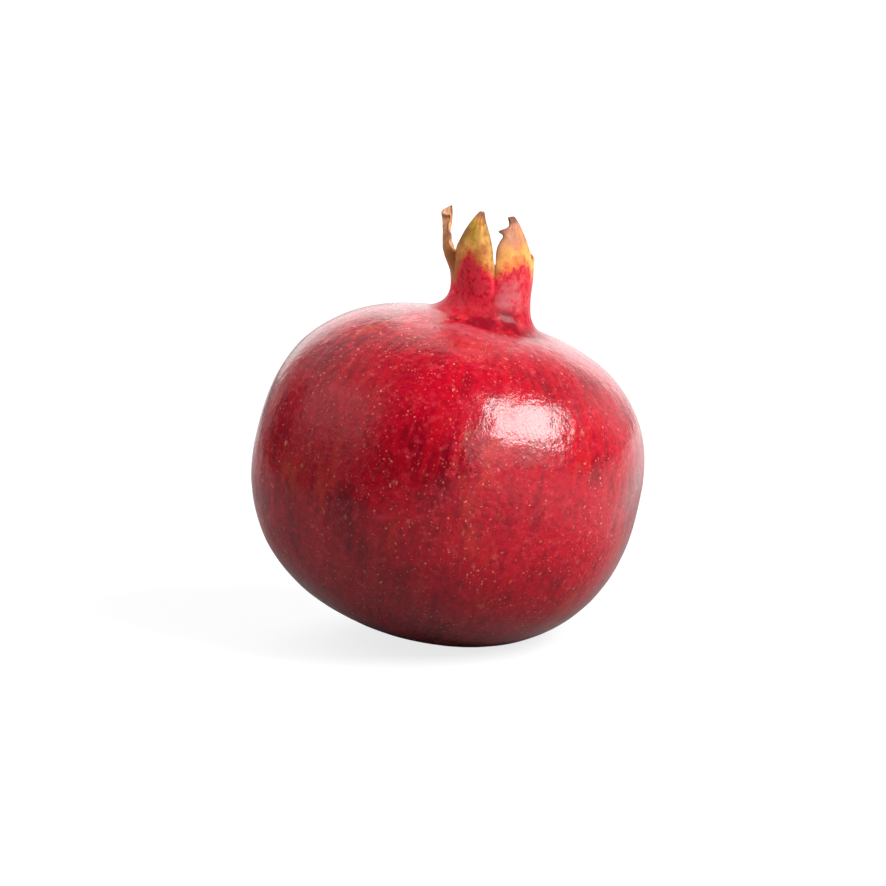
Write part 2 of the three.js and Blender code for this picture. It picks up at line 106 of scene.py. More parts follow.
# Each sepal stands between two notches in that order. Its tip lies at height tip, moved round the crown by
# shift. flare carries it outward and tilt moves its tip outward. Each margin narrows as (1 - v^p)^q, width is
# half the tip's width, and roll is the radius its cross-section curls to. slant raises the end towards the
# first margin, pinch narrows the sepal to a waist, and blunt is how square the end is. red is the height of
# the tip of the neck's red tongue, and side is where across the sepal that tip lies. dry is how far it has
# dried, scorch how brown its end is, olive how far it has turned olive, pale how pale its ochre is, and brown
# how brown its two margins are.
SEPALS = [
    dict(name="front_left", tip=27.3, shift=1.7, flare=0.3, tilt=-2.2, p=(1, 2.6), q=(1, 1.35),
         width=0.62, roll=9, slant=0, pinch=0, blunt=0.3, red=17, side=-0.1,
         dry=0.05, scorch=0.15, olive=1, pale=1, brown=(0.8, 0)),
    dict(name="front_right", tip=26.1, shift=-0.95, flare=0.3, tilt=-2, p=(5, 0.9), q=(4.7, 1),
         width=0.85, roll=8, slant=0, pinch=0, blunt=0.3, red=14.8, side=0.25,
         dry=0.95, scorch=1.1, olive=0, pale=0.1, brown=(0.1, 0)),
    dict(name="right", tip=16.9, shift=-0.8, flare=0.35, tilt=-2.4, p=(1.6, 1.6), q=(1, 1),
         width=0.7, roll=8, slant=0, pinch=0, blunt=0.2, red=11.2, side=0,
         dry=0.4, scorch=0.6, olive=0, pale=0, brown=(0, 0.3)),
    dict(name="back_right", tip=18.3, shift=0.6, flare=0.2, tilt=-1, p=(1.4, 1.7), q=(1, 1),
         width=0.7, roll=9, slant=0, pinch=0, blunt=0.1, red=12.2, side=0.2,
         dry=0.5, scorch=0.6, olive=0.5, pale=0.5, brown=(0.3, 0.3)),
    dict(name="back_left", tip=18.9, shift=-0.4, flare=0.5, tilt=-0.6, p=(1.5, 1.5), q=(1, 1),
         width=0.7, roll=9, slant=0, pinch=0, blunt=0.2, red=12.7, side=-0.2,
         dry=0.5, scorch=0.7, olive=0.2, pale=0.5, brown=(0.3, 0.6)),
    dict(name="left", tip=26.8, shift=0.4, flare=2.1, tilt=0.5, p=(1, 1), q=(2.1, 2.5),
         width=3.9, roll=2.5, slant=1.7, pinch=0.27, blunt=1, red=9.7, side=0,
         dry=1.1, scorch=0.6, olive=0, pale=0.5, brown=(1, 1)),
]
FLARING = (10.7, 17.7)
CURLING = (0, 0.42)
TIP_ROUNDING = 0.75
TIP_END = (0.96, 1.02)
WAIST_AT = 0.58
WAIST_SPREAD = 0.16
SLANTING = (0.7, 1)
SLANT_AFTER = 0.2
SLANT_LEVEL = 0.5
CRACK = 0.28
CRACK_OPENING = (0, 0.15)
JOINING = (0, 0.3)
TURNING_OUT = (0, 0.25)
MARGIN_THICKNESS = 0.7
TIP_THICKNESS = 0.9
MIDDLE_THINNING = (0, 0.8)
MARGIN_THINNING = (0, 0.12)
VEIN_HEIGHT = 0.03
VEIN_COUNT = 5
CRINKLE_HEIGHT = 0.1
CRINKLE_SPACING = 1.3
CRINKLE_STRETCH = [1, 1, 0.6]
CRINKLE_SEED = 11
SLOPE_STEP = 0.004

# The small dried spur on the left margin of the sepal at the front right.
SPUR = dict(sepal="front_right", side=-1, at=0.765, spread=0.05, reach=2.4, edge=(0.75, 1))

# ---------- Where the skin's looks lie ----------

# On the neck: heights and radii in the crown's frame, and angles round it where the name says turn.
NECK_LEVEL = (-3.5, 0.5)
NECK_EDGE = (13, 16)
# The neck's bloom is partly its own pale bloom and partly painted sheen; the ring on the shoulder is painted
# sheen alone.
NECK_BLOOM_AND_SHEEN = 0.1
RING_SHEEN = 0.7
RING_START = (15, 18)
RING_END = (18, 30)
RING_TOP = 1
FRONT_TURN = (-100, -55)
SIDE_TURN = (20, 80)
CORAL_BEHIND = 0.45
# Over these heights the upper neck, away from the front, is painted brighter red as painted light.
PAINTED_LIGHT_LEVEL = (3, 8)
# The foot: a band of painted shade round the neck's root, fainter on one part of the round.
FOOT_RISE = 1.6
FOOT_RISE_TURN = (-110, -70)
FOOT_EDGE = (15, 16.5)
FOOT_LEVEL = (1, 3.5)
FOOT_FAINT = 0.3
FOOT_FAINT_TURN = (-58, -46)
FOOT_BLOOM_AND_SHEEN_LOSS = 0.8

# The pale patch on the front of the neck: partly a scuffed patch of the skin, partly a painted highlight of
# the main light.
SCUFF_AND_HIGHLIGHT = dict(angle=-64, height=6.3, wide=24, tall=4.6, edge=(0.5, 1.2))

# On the sepals: along them from 0 at the rim to 1 at the tip, and across them from -1 to 1.
TONGUE_POWER = 1.2
MARGIN_BROWN = (0.35, 0.8)
DRYING = (0.1, 0.75)
DRY_TIP = 0.9
DRY_TIP_START = (0.86, 0.95)
DRY_MARGIN = 0.5
DRY_MARGIN_POWER = 12
SCORCHING = (0.82, 0.94)
SCORCHED_MARGIN = 0.8
SCORCHED_MARGIN_POWER = 10
SCORCHED_MARGIN_START = (0.1, 0.4)
SPUR_LOOKS = dict(spread=0.08, edge=(0.7, 1), dry=1.2, scorch=0.7)
OLIVE_START = (0.25, 0.55)
OLIVE_SIDE = (-0.1, 0.6)
BROWN_END = (0.5, 0.75)
PALE = 0.5
PALE_START = (0, 0.2)

# The height above the red that stands for plain red skin, and for the floor of the cup.
ALL_RED = -50.0
CUP_FLOOR_RED = -10.0

# ---------- Sizes of the dry tuft ----------

TUFT_GAP = 0.35
BOWL_THICKNESS = 0.9
BOWL_HEIGHT = 3.4
BOWL_SIDES = 64
THREAD_COUNT = 130
THREAD_STEPS = 22
THREAD_SIDES = 6
THREAD_SPIRAL = 137.5
THREAD_RADIUS = 0.17
THREAD_TAPER = (1.25, 0.8)
ANTHER_RADIUS = 0.46
ANTHER_AT = 0.91
ANTHER_HALF = 0.09
STYLE_RADIUS = 0.75
STYLE_TOP = 11
TUFT_SEED = 4

# Each for the innermost thread and the outermost: how far from the axis it roots, its height and its reach.
ROOT_RADII = (1.3, CUP_FLOOR_RADIUS - 0.9)
THREAD_HEIGHTS = (10.2, 12.6)
THREAD_REACHES = (1.2, 5.2)

# By how much each thread may differ, in degrees, millimetres or, for its radius, shares of the whole.
TURN_SPREAD = (-8, 8)
HEIGHT_SPREAD = (-1.6, 1)
REACH_SPREAD = (-0.4, 0.4)
TWIST_SPREAD = (-22, 22)
RADIUS_SPREAD = (0.85, 1.15)

# ---------- How fine the meshes are ----------

COLUMNS_PER_SEPAL = 54
SEPAL_COUNT = len(SEPALS)
COLUMNS = COLUMNS_PER_SEPAL * SEPAL_COUNT
SOCKET_RINGS = 6
LOWER_RINGS = 88
LOWER_CROWDING = 0.75
UPPER_RINGS = 56
FILLET_RINGS = 12
NECK_RINGS = 16
SEPAL_ROWS = 44
CUP_RINGS = 16
LATITUDE_STEPS = 4001


# ---------- Small tools ----------

def smooth_step(x, low, high):
    """0 below low and 1 above high, with a cubic ease between."""
    t = np.clip((x - low) / (high - low), 0, 1)
    return t * t * (3 - 2 * t)


def mix(a, b, t):
    """a where t is 0, b where t is 1."""
    return a + (b - a) * t


def hump(x, middle, spread):
    """A bell, e to the power of minus the squared distance from the middle over the spread."""
    return np.exp(-(((x - middle) / spread) ** 2))


def cos_deg(angle):
    """The cosine of an angle in degrees."""
    return np.cos(np.radians(angle))


def sin_deg(angle):
    """The sine of an angle in degrees."""
    return np.sin(np.radians(angle))


# Large odd numbers and shifts that scatter a cell's whole numbers over all 32 bits.
CELL_SCATTER = np.array([374761393, 668265263, 2147483647], np.uint32)
SEED_SCATTER = 40503
BIT_SCATTER = np.uint32(1274126177)
FIRST_SHIFT, SECOND_SHIFT = np.uint32(13), np.uint32(16)


def lattice_value(cell, seed):
    """A repeatable value from -1 to 1 for each whole-numbered cell, by scattering the bits of its numbers."""
    mixed = (cell.astype(np.uint32) * CELL_SCATTER).sum(axis=-1, dtype=np.uint32)
    mixed = mixed + np.uint32(seed * SEED_SCATTER)
    mixed = (mixed ^ (mixed >> FIRST_SHIFT)) * BIT_SCATTER
    mixed = mixed ^ (mixed >> SECOND_SHIFT)
    return mixed.astype(np.float64) / 2**31 - 1


def noise(points, spacing, seed):
    """Values from -1 to 1 on a cubic lattice of the spacing, eased between the eight nearest corners."""
    scaled = points / spacing
    cell = np.floor(scaled).astype(np.int64)
    part = scaled - cell
    part = part * part * (3 - 2 * part)
    whole = np.zeros(points.shape[:-1])
    for corner in itertools.product((0, 1), repeat=3):
        weight = np.prod(np.where(corner, part, 1 - part), axis=-1)
        whole += weight * lattice_value(cell + np.array(corner), seed)
    return whole


# ---------- Frames ----------

def leaning_frame(origin, lean):
    """The frame at origin whose axis leans from +Z towards +X, as (origin, three axes in rows)."""
    c, s = cos_deg(lean), sin_deg(lean)
    return np.asarray(origin, float), np.array([[c, 0, -s], [0, 1, 0], [s, 0, c]])


def polar(place, radius, angle, height):
    """Points at a radius and an angle round a frame's axis, at a height along it."""
    origin, axes = place
    radius, angle, height = np.broadcast_arrays(radius, angle, height)
    local = np.stack([radius * cos_deg(angle), radius * sin_deg(angle), height], axis=-1)
    return origin + local @ axes


def into_frame(place, points):
    """The points' coordinates in a frame."""
    origin, axes = place
    return (points - origin) @ axes.T


body_frame = leaning_frame(BODY_CENTRE, BODY_LEAN)
crown_origin = polar(body_frame, CROWN_SHIFT, 0, UPPER_HEIGHT)
crown_frame = leaning_frame(crown_origin, CROWN_LEAN)


# ---------- The body's surface ----------

def meridian(latitude):
    """Radius and height on two half superellipses, |r/R|^n + |h/H|^n = 1, at a latitude from -90 to 90."""
    height = np.where(latitude < 0, LOWER_HEIGHT, UPPER_HEIGHT)
    fullness = np.where(latitude < 0, LOWER_FULLNESS, UPPER_FULLNESS)
    across, up = cos_deg(latitude), sin_deg(latitude)
    scale = (np.abs(across) ** fullness + np.abs(up) ** fullness) ** (-1 / fullness)
    return BODY_RADIUS * across * scale, height * up * scale


def swelling(latitude, angle):
    """Six ribs and a two- and three-sided unevenness, each a wave round the axis, fading to the two ends."""
    fade = cos_deg(latitude) ** SWELLING_FADE
    ribs = RIB_HEIGHT * cos_deg(RIB_COUNT * (angle - RIB_TURN))
    uneven = UNEVEN_TWO_SIDED * sin_deg(2 * angle) + UNEVEN_THREE_SIDED * sin_deg(3 * angle)
    return fade * (ribs + uneven)


def body_points(latitude, angle):
    """The meridian turned round the leaning axis and swollen, with the basin pressed into its low end."""
    radius, height = meridian(latitude)
    basin = np.where(latitude < 0, BASIN_DEPTH * (1 - smooth_step(radius, SOCKET_RADIUS, BASIN_RADIUS)), 0)
    return polar(body_frame, radius + swelling(latitude, angle), angle, height + basin)


def latitude_at(radius, half):
    """The latitude on the upper (1) or lower (-1) half whose meridian radius is the given one, by table."""
    latitudes = half * np.linspace(0, 90, LATITUDE_STEPS)
    return np.interp(-np.asarray(radius), -meridian(latitudes)[0], latitudes)


# ---------- The neck and cup ----------

def sepal_at(angle):
    """The index of the sepal that an angle belongs to, and how far along it the angle lies, from 0 to 1."""
    turned = NOTCH_ANGLES[0] + np.mod(angle - NOTCH_ANGLES[0], 360)
    index = np.clip(np.searchsorted(NOTCH_ANGLES, turned, side="right") - 1, 0, SEPAL_COUNT - 1)
    start, end = NOTCH_ANGLES[index], NOTCH_ANGLES[index + 1]
    return index, (turned - start) / (end - start)


def rim_height(angle):
    """The height where the tube becomes sepals, eased from notch to notch."""
    index, share = sepal_at(angle)
    return mix(NOTCH_HEIGHTS[index], NOTCH_HEIGHTS[index + 1], smooth_step(share, 0, 1))


def per_sepal(key, index):
    """One of the sepals' values, looked up for a whole array of indices."""
    return np.array([sepal[key] for sepal in SEPALS])[index]


def tube_radius(angle, height):
    """A waist widening to the mouth, with a flare under each sepal's middle and a crease under each notch."""
    index, share = sepal_at(angle)
    near_notch = (2 * np.abs(share - 0.5)) ** CREASE_SHARPNESS
    rim = rim_height(angle)
    crease = CREASE_DEPTH * smooth_step(height, rim - CREASE_LENGTH, rim)
    flare = per_sepal("flare", index) * smooth_step(height, *FLARING)
    return mix(WAIST_RADIUS, MOUTH_RADIUS, smooth_step(height, *WIDENING)) + mix(flare, -crease, near_notch)


def shoulder_height(angle):
    """The height in the crown's frame where the waist would pierce the body's top."""
    waist = np.broadcast_to(latitude_at(WAIST_RADIUS, 1), np.shape(angle))
    return into_frame(crown_frame, body_points(waist, angle))[..., 2]


def against_lean(angle):
    """1 on the side that the body leans away from, 0 on the other: half of one less a cosine, cubed."""
    return (0.5 - 0.5 * cos_deg(angle)) ** 3


def fillet_height(angle):
    """How far up the tube the fillet reaches, which is furthest against the lean."""
    return FILLET_HEIGHT + FILLET_RISE * against_lean(angle)


def shoulder_latitude(angle):
    """The latitude where the fillet starts, which is furthest out against the lean."""
    return latitude_at(SHOULDER_RADIUS + SHOULDER_SPREAD * against_lean(angle), 1)


def fillet_points(angle, t):
    """A quadratic curve from the body's shoulder up to the tube, with its corner where the two would meet."""
    base = shoulder_height(angle)
    start = body_points(shoulder_latitude(angle), angle)
    corner = polar(crown_frame, WAIST_RADIUS, angle, base)
    top = base + fillet_height(angle)
    end = polar(crown_frame, tube_radius(angle, top), angle, top)
    t = t[..., None]
    return (1 - t) ** 2 * start + 2 * t * (1 - t) * corner + t**2 * end


def neck_points(angle, t):
    """The tube from the top of the fillet to the rim."""
    height = mix(shoulder_height(angle) + fillet_height(angle), rim_height(angle), t)
    return polar(crown_frame, tube_radius(angle, height), angle, height)


def cup_points(angle, t):
    """The cup's inside, from the rim in to the edge of its floor along a cubic."""
    rim = rim_height(angle)
    height = mix(rim, CUP_FLOOR_HEIGHT, t)
    radius = mix(tube_radius(angle, rim) - WALL, CUP_FLOOR_RADIUS, t**3)
    return polar(crown_frame, radius, angle, height)


# ---------- The sepals ----------

def half_width(index, u, v):
    """Half the sepal's width along its curve: each margin narrows from the notch to the rounded tip.

    The waist is a bell taken out of the width, and the crack is a sliver taken off each margin near the rim.
    """
    sepal = SEPALS[index]
    full = MOUTH_RADIUS * np.radians(NOTCH_ANGLES[index + 1] - NOTCH_ANGLES[index]) / 2
    p = np.where(u < 0, sepal["p"][0], sepal["p"][1])
    q = np.where(u < 0, sepal["q"][0], sepal["q"][1])
    rounding = np.sqrt(1 - TIP_ROUNDING * (1 - sepal["blunt"]) * smooth_step(v, *TIP_END) ** 2)
    narrowing = (1 - v**p) ** q
    waist = 1 - sepal["pinch"] * hump(v, WAIST_AT, WAIST_SPREAD)
    shape = (sepal["width"] + (full - sepal["width"]) * narrowing) * waist
    return shape * rounding - CRACK * smooth_step(v, *CRACK_OPENING) * (1 - v)


def sepal_points(index, u, v):
    """The outer face: an arc across, u from -1 to 1, that rises from the rim, v = 0, to the tip, v = 1.

    The arc's radius eases from the tube's to the sepal's own roll, the whole arc moves outward with the flare
    and the tilt and sideways with the shift, and near the rim it blends into the tube.
    """
    sepal = SEPALS[index]
    start, end = NOTCH_ANGLES[index], NOTCH_ANGLES[index + 1]
    angle = mix(start, end, (u + 1) / 2)
    lean = np.maximum(-u, 0) - SLANT_AFTER * np.maximum(u, 0) - SLANT_LEVEL
    height = mix(rim_height(angle), sepal["tip"], v) + sepal["slant"] * lean * smooth_step(v, *SLANTING)
    bend = mix(MOUTH_RADIUS, sepal["roll"], smooth_step(v, *CURLING))
    along = u * half_width(index, u, v)
    if sepal["name"] == SPUR["sepal"]:
        edge = smooth_step(SPUR["side"] * u, *SPUR["edge"])
        along = along + SPUR["side"] * SPUR["reach"] * hump(v, SPUR["at"], SPUR["spread"]) * edge
    flare = sepal["flare"] * smooth_step(height, *FLARING)
    outward = MOUTH_RADIUS + flare + sepal["tilt"] * v**3 - bend * (1 - np.cos(along / bend))
    sideways = bend * np.sin(along / bend) + sepal["shift"] * v**1.5
    facing = (start + end) / 2
    origin, axes = crown_frame
    x = outward * cos_deg(facing) - sideways * sin_deg(facing)
    y = outward * sin_deg(facing) + sideways * cos_deg(facing)
    free = origin + np.stack([x, y, height], axis=-1) @ axes
    on_tube = polar(crown_frame, tube_radius(angle, height), angle, height)
    return mix(on_tube, free, smooth_step(v, *JOINING)[..., None])


def sepal_outward(index, u, v):
    """The direction square to the sepal, from its slopes, easing to straight out from the axis at the rim."""
    right, left = np.minimum(u + SLOPE_STEP, 1), np.maximum(u - SLOPE_STEP, -1)
    higher, lower = np.minimum(v + SLOPE_STEP, 1), np.maximum(v - SLOPE_STEP, 0)
    across = sepal_points(index, right, v) - sepal_points(index, left, v)
    up = sepal_points(index, u, higher) - sepal_points(index, u, lower)
    square = np.cross(across, up)
    square /= np.linalg.norm(square, axis=-1, keepdims=True)
    angle = mix(NOTCH_ANGLES[index], NOTCH_ANGLES[index + 1], (u + 1) / 2)
    radial = polar(crown_frame, 1, angle, 0) - crown_frame[0]
    outward = mix(radial, square, smooth_step(v, *TURNING_OUT)[..., None])
    return outward / np.linalg.norm(outward, axis=-1, keepdims=True)


def sepal_thickness(u, v):
    """Thick along the middle and at the rim, thin at the margins and the tip."""
    middle = mix(WALL, TIP_THICKNESS, smooth_step(v, *MIDDLE_THINNING))
    edge = mix(WALL, MARGIN_THICKNESS, smooth_step(v, *MARGIN_THINNING))
    return mix(middle, edge, np.abs(u) ** 3)


# ---------- Building meshes ----------

class Surface:
    """Vertices with their values, and faces as triangles and quads, gathered as whole arrays."""

    def __init__(self):
        self.points = []
        self.values = {}
        self.quads = []
        self.triangles = []
        self.count = 0

    def add(self, points, **values):
        """Adds a grid of points and the values of its attributes, and returns the grid of vertex numbers."""
        flat = points.reshape(-1, 3)
        numbers = np.arange(self.count, self.count + len(flat)).reshape(points.shape[:-1])
        for name, value in values.items():
            width = 3 if np.ndim(value) == len(points.shape) else 1
            shape = points.shape if width == 3 else points.shape[:-1]
            value = np.broadcast_to(value, shape).reshape(len(flat), width)
            self.values.setdefault(name, []).append((self.count, value))
        self.points.append(flat)
        self.count += len(flat)
        return numbers

    def strip(self, rows, closed=False, inward=False):
        """Quads over a grid of vertex numbers whose rows rise, as seen from outside."""
        if closed:
            rows = np.concatenate([rows, rows[:, :1]], axis=1)
        quads = np.stack([rows[:-1, :-1], rows[:-1, 1:], rows[1:, 1:], rows[1:, :-1]], axis=-1).reshape(-1, 4)
        self.quads.append(quads[:, ::-1] if inward else quads)

    def fan(self, row, tip, inward=False):
        """Triangles from a closed row up to one vertex."""
        following = np.roll(row, -1)
        triangles = np.stack([row, following, np.full_like(row, tip)], axis=-1)
        self.triangles.append(triangles[:, ::-1] if inward else triangles)

    def close(self, row, point, inward=False, **values):
        """Adds one point and closes a row to it."""
        self.fan(row, self.add(point[None], **values)[0], inward)

    def mesh(self, name):
        """The mesh in metres, smooth, with each attribute on its vertices."""
        points = np.concatenate(self.points) * MM
        quads, triangles = np.concatenate(self.quads), np.concatenate(self.triangles)
        corners = np.concatenate([quads.ravel(), triangles.ravel()]).astype(np.int32)
        sizes = np.concatenate([np.full(len(quads), 4), np.full(len(triangles), 3)])
        starts = np.concatenate([[0], np.cumsum(sizes)[:-1]]).astype(np.int32)
        made = bpy.data.meshes.new(name)
        made.vertices.add(len(points))
        made.vertices.foreach_set("co", points.ravel().astype(np.float32))
        made.loops.add(len(corners))
        made.loops.foreach_set("vertex_index", corners)
        made.polygons.add(len(sizes))
        made.polygons.foreach_set("loop_start", starts)
        made.update(calc_edges=True)
        made.polygons.foreach_set("use_smooth", np.ones(len(sizes), bool))
        for attribute, parts in self.values.items():
            width = parts[0][1].shape[1]
            whole = np.zeros((self.count, width), np.float32)
            for start, value in parts:
                whole[start:start + len(value)] = value
            kind, slot = ("FLOAT_VECTOR", "vector") if width == 3 else ("FLOAT", "value")
            made.attributes.new(attribute, kind, "POINT").data.foreach_set(slot, whole.ravel())
        made.validate()
        return made


def shares(count, whole=False):
    """A column of 0, 1/count, 2/count and so on, up to 1 if whole, and otherwise short of it."""
    return np.arange(count + whole)[:, None] / count


def place_piece(name, mesh, material, node):
    """Puts a finished mesh in the scene as the piece that stands for a node."""
    piece = bpy.data.objects.new(name, mesh)
    bpy.context.scene.collection.objects.link(piece)
    mesh.materials.append(material)
    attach(piece, "root")
    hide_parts(node)


# ---------- The fruit: rind, neck and crown ----------

def column_angles():
    """The angle of each column: the same number on each sepal, evenly spread between its notches."""
    share = np.arange(COLUMNS_PER_SEPAL) / COLUMNS_PER_SEPAL
    return np.concatenate([mix(NOTCH_ANGLES[i], NOTCH_ANGLES[i + 1], share) for i in range(SEPAL_COUNT)])


def settled(points):
    """The points with the skin's relief: dents and puckers moved outward by noises, and kept above the table.

    Outward turns from straight away from the body's middle to straight away from the crown's axis as the neck
    rises.
    """
    local = into_frame(crown_frame, points)
    radial = local * [1, 1, 0]
    radial = radial / np.maximum(np.linalg.norm(radial, axis=-1, keepdims=True), 0.1) @ crown_frame[1]
    away = points - BODY_CENTRE
    away = away / np.linalg.norm(away, axis=-1, keepdims=True)
    outward = mix(away, radial, smooth_step(local[..., 2], *RELIEF_TURNING)[..., None])
    size = sum(height * noise(points, spacing, seed) for spacing, height, seed in RELIEF)
    moved = points + outward * size[..., None]
    moved[..., 2] = np.maximum(moved[..., 2], 0)
    return moved


def run_along(angle, points):
    """Where the skin's fibres run: a circle for the angle, and the height along the body's axis.

    The circle closes on itself, so the streaks have no seam.
    """
    angle, height = np.broadcast_arrays(angle, into_frame(body_frame, points)[..., 2])
    return np.stack([BODY_RADIUS * cos_deg(angle), BODY_RADIUS * sin_deg(angle), height], axis=-1)


def above_red(points, angle):
    """How far above the red of the neck a point lies: on each sepal the red rises to a pointed tongue."""
    index, share = sepal_at(angle)
    side = per_sepal("side", index)
    level = mix(NOTCH_REDS[index], NOTCH_REDS[index + 1], share)
    across = 2 * share - 1 - side
    reach = np.abs(across) / np.where(across < 0, 1 + side, 1 - side)
    level = level + (per_sepal("red", index) - level) * (1 - reach**TONGUE_POWER)
    return into_frame(crown_frame, points)[..., 2] - level


def browned(angle):
    """How brown the crown is at an angle: a sepal's margins have a value each, and its middle the lower."""
    index, share = sepal_at(angle)
    across = 2 * share - 1
    left, right = np.moveaxis(per_sepal("brown", index), -1, 0)
    margins = np.where(across < 0, left, right) * smooth_step(np.abs(across), *MARGIN_BROWN)
    return np.maximum(margins, np.minimum(left, right))


def neck_looks(points):
    """How far a point belongs to the neck, its bloom and painted sheen, its painted shade, how coral and its
    painted light.

    The bloom is a ring of painted sheen on the shoulder, a patch on the front of the neck that is partly a
    pale scuff and partly a painted highlight, and a little pale bloom all over the neck. The foot is a band
    of painted shade round the neck's root. Coral lies on the front; behind it, the upper neck is painted
    brighter red as painted light.
    """
    local = into_frame(crown_frame, points)
    height = local[..., 2]
    radius = np.hypot(local[..., 0], local[..., 1])
    turn = np.degrees(np.arctan2(local[..., 1], local[..., 0]))
    neck = smooth_step(height, *NECK_LEVEL) * (1 - smooth_step(radius, *NECK_EDGE))
    # A ring of painted sheen on the shoulder round the neck.
    ring = RING_SHEEN * smooth_step(radius, *RING_START) * (1 - smooth_step(radius, *RING_END))
    ring = ring * (height < RING_TOP)
    # A patch that is partly a pale scuff of the skin and partly a painted highlight.
    across, up = (turn - SCUFF_AND_HIGHLIGHT["angle"]) / SCUFF_AND_HIGHLIGHT["wide"], (height - SCUFF_AND_HIGHLIGHT["height"]) / SCUFF_AND_HIGHLIGHT["tall"]
    patch = 1 - smooth_step(np.hypot(across, up), *SCUFF_AND_HIGHLIGHT["edge"])
    front = smooth_step(turn, *FRONT_TURN) * (1 - smooth_step(turn, *SIDE_TURN))
    rise = FOOT_RISE * smooth_step(turn, *FOOT_RISE_TURN)
    # Painted shade round the neck's root.
    foot = (1 - smooth_step(radius + rise, *FOOT_EDGE)) * (1 - smooth_step(height - rise, *FOOT_LEVEL))
    foot = foot * mix(1, FOOT_FAINT, smooth_step(turn, *FOOT_FAINT_TURN))
    # Pale bloom with painted sheen and the painted highlight, weaker over the painted shade of the foot.
    bloom = np.maximum(np.maximum(ring, patch), NECK_BLOOM_AND_SHEEN * neck) * (1 - FOOT_BLOOM_AND_SHEEN_LOSS * foot)
    bloom = np.where(radius < RING_END[1], bloom, 0)
    coral = neck * mix(CORAL_BEHIND, 1, front)
    # Painted light: the upper neck away from the front, painted brighter red where little light reaches it.
    bright = neck * (1 - front) * smooth_step(height, *PAINTED_LIGHT_LEVEL)
    return dict(neck=neck, bloom=bloom, foot=foot, coral=coral, bright=bright)


def add_outside(surface, angles):
    """The rings of the outside, from the socket's bottom to the rim. Returns the rim's vertex numbers."""
    foot = latitude_at(SOCKET_RADIUS, -1)
    socket_end = SOCKET_DEPTH - LOWER_HEIGHT
    mouth = body_points(np.full_like(angles, foot), angles)
    socket = mix(polar(body_frame, SOCKET_RADIUS, angles, socket_end), mouth, shares(SOCKET_RINGS)[..., None])
    low = foot * (1 - shares(LOWER_RINGS)) ** LOWER_CROWDING
    high = shoulder_latitude(angles) * shares(UPPER_RINGS)
    latitude = np.concatenate([np.broadcast_to(low, (LOWER_RINGS, COLUMNS)), high])
    body = body_points(latitude, np.broadcast_to(angles, latitude.shape))
    t, angle = np.broadcast_arrays(shares(FILLET_RINGS), angles)
    fillet = fillet_points(angle, t)
    t, angle = np.broadcast_arrays(shares(NECK_RINGS, whole=True), angles)
    points = settled(np.concatenate([socket, body, fillet, neck_points(angle, t)]))
    ochre = above_red(points, np.broadcast_to(angles, points.shape[:-1]))
    looks = dict(run=run_along(angles, points), ochre=ochre, brown=browned(angles), pale=PALE)
    numbers = surface.add(points, **looks, **neck_looks(points))
    surface.strip(numbers, closed=True)
    surface.close(numbers[0], polar(body_frame, 0, 0, socket_end), inward=True, ochre=ALL_RED)
    return numbers[-1]


def add_cup(surface, angles):
    """The cup's inside, from the rim down to its floor. Returns the inner rim's vertex numbers."""
    t, angle = np.broadcast_arrays(shares(CUP_RINGS, whole=True), angles)
    points = cup_points(angle, t)
    points[0] = settled(points[0])
    numbers = surface.add(points, run=run_along(angles, points), ochre=above_red(points, angle), inside=1.0)
    surface.strip(numbers, closed=True, inward=True)
    surface.close(numbers[-1], polar(crown_frame, 0, 0, CUP_FLOOR_HEIGHT), ochre=CUP_FLOOR_RED, inside=1.0)
    return numbers[0]


def sepal_looks(index, u, v, outer, angle):
    """A sepal's values: dry and scorched at the tip and the margins, olive on one side, brown and pale."""
    sepal = SEPALS[index]
    dry = sepal["dry"] * smooth_step(v, *DRYING) + DRY_TIP * smooth_step(v, *DRY_TIP_START)
    dry = dry + DRY_MARGIN * np.abs(u) ** DRY_MARGIN_POWER
    scorch = sepal["scorch"] * smooth_step(v, *SCORCHING)
    margins = SCORCHED_MARGIN * np.abs(u) ** SCORCHED_MARGIN_POWER
    scorch = scorch + margins * smooth_step(v, *SCORCHED_MARGIN_START)
    if sepal["name"] == SPUR["sepal"]:
        spur = hump(v, SPUR["at"], SPUR_LOOKS["spread"]) * smooth_step(SPUR["side"] * u, *SPUR_LOOKS["edge"])
        dry = dry + SPUR_LOOKS["dry"] * spur
        scorch = scorch + SPUR_LOOKS["scorch"] * spur
    olive = sepal["olive"] * smooth_step(v, *OLIVE_START) * (1 - smooth_step(u, *OLIVE_SIDE))
    brown = np.maximum(browned(angle) * (1 - smooth_step(v, *BROWN_END)), min(sepal["brown"]))
    pale = mix(PALE, sepal["pale"], smooth_step(v, *PALE_START))
    looks = dict(dry=dry, olive=olive, scorch=scorch, brown=brown, pale=pale)
    return dict(run=run_along(angle, outer), ochre=above_red(outer, angle), **looks, **neck_looks(outer))


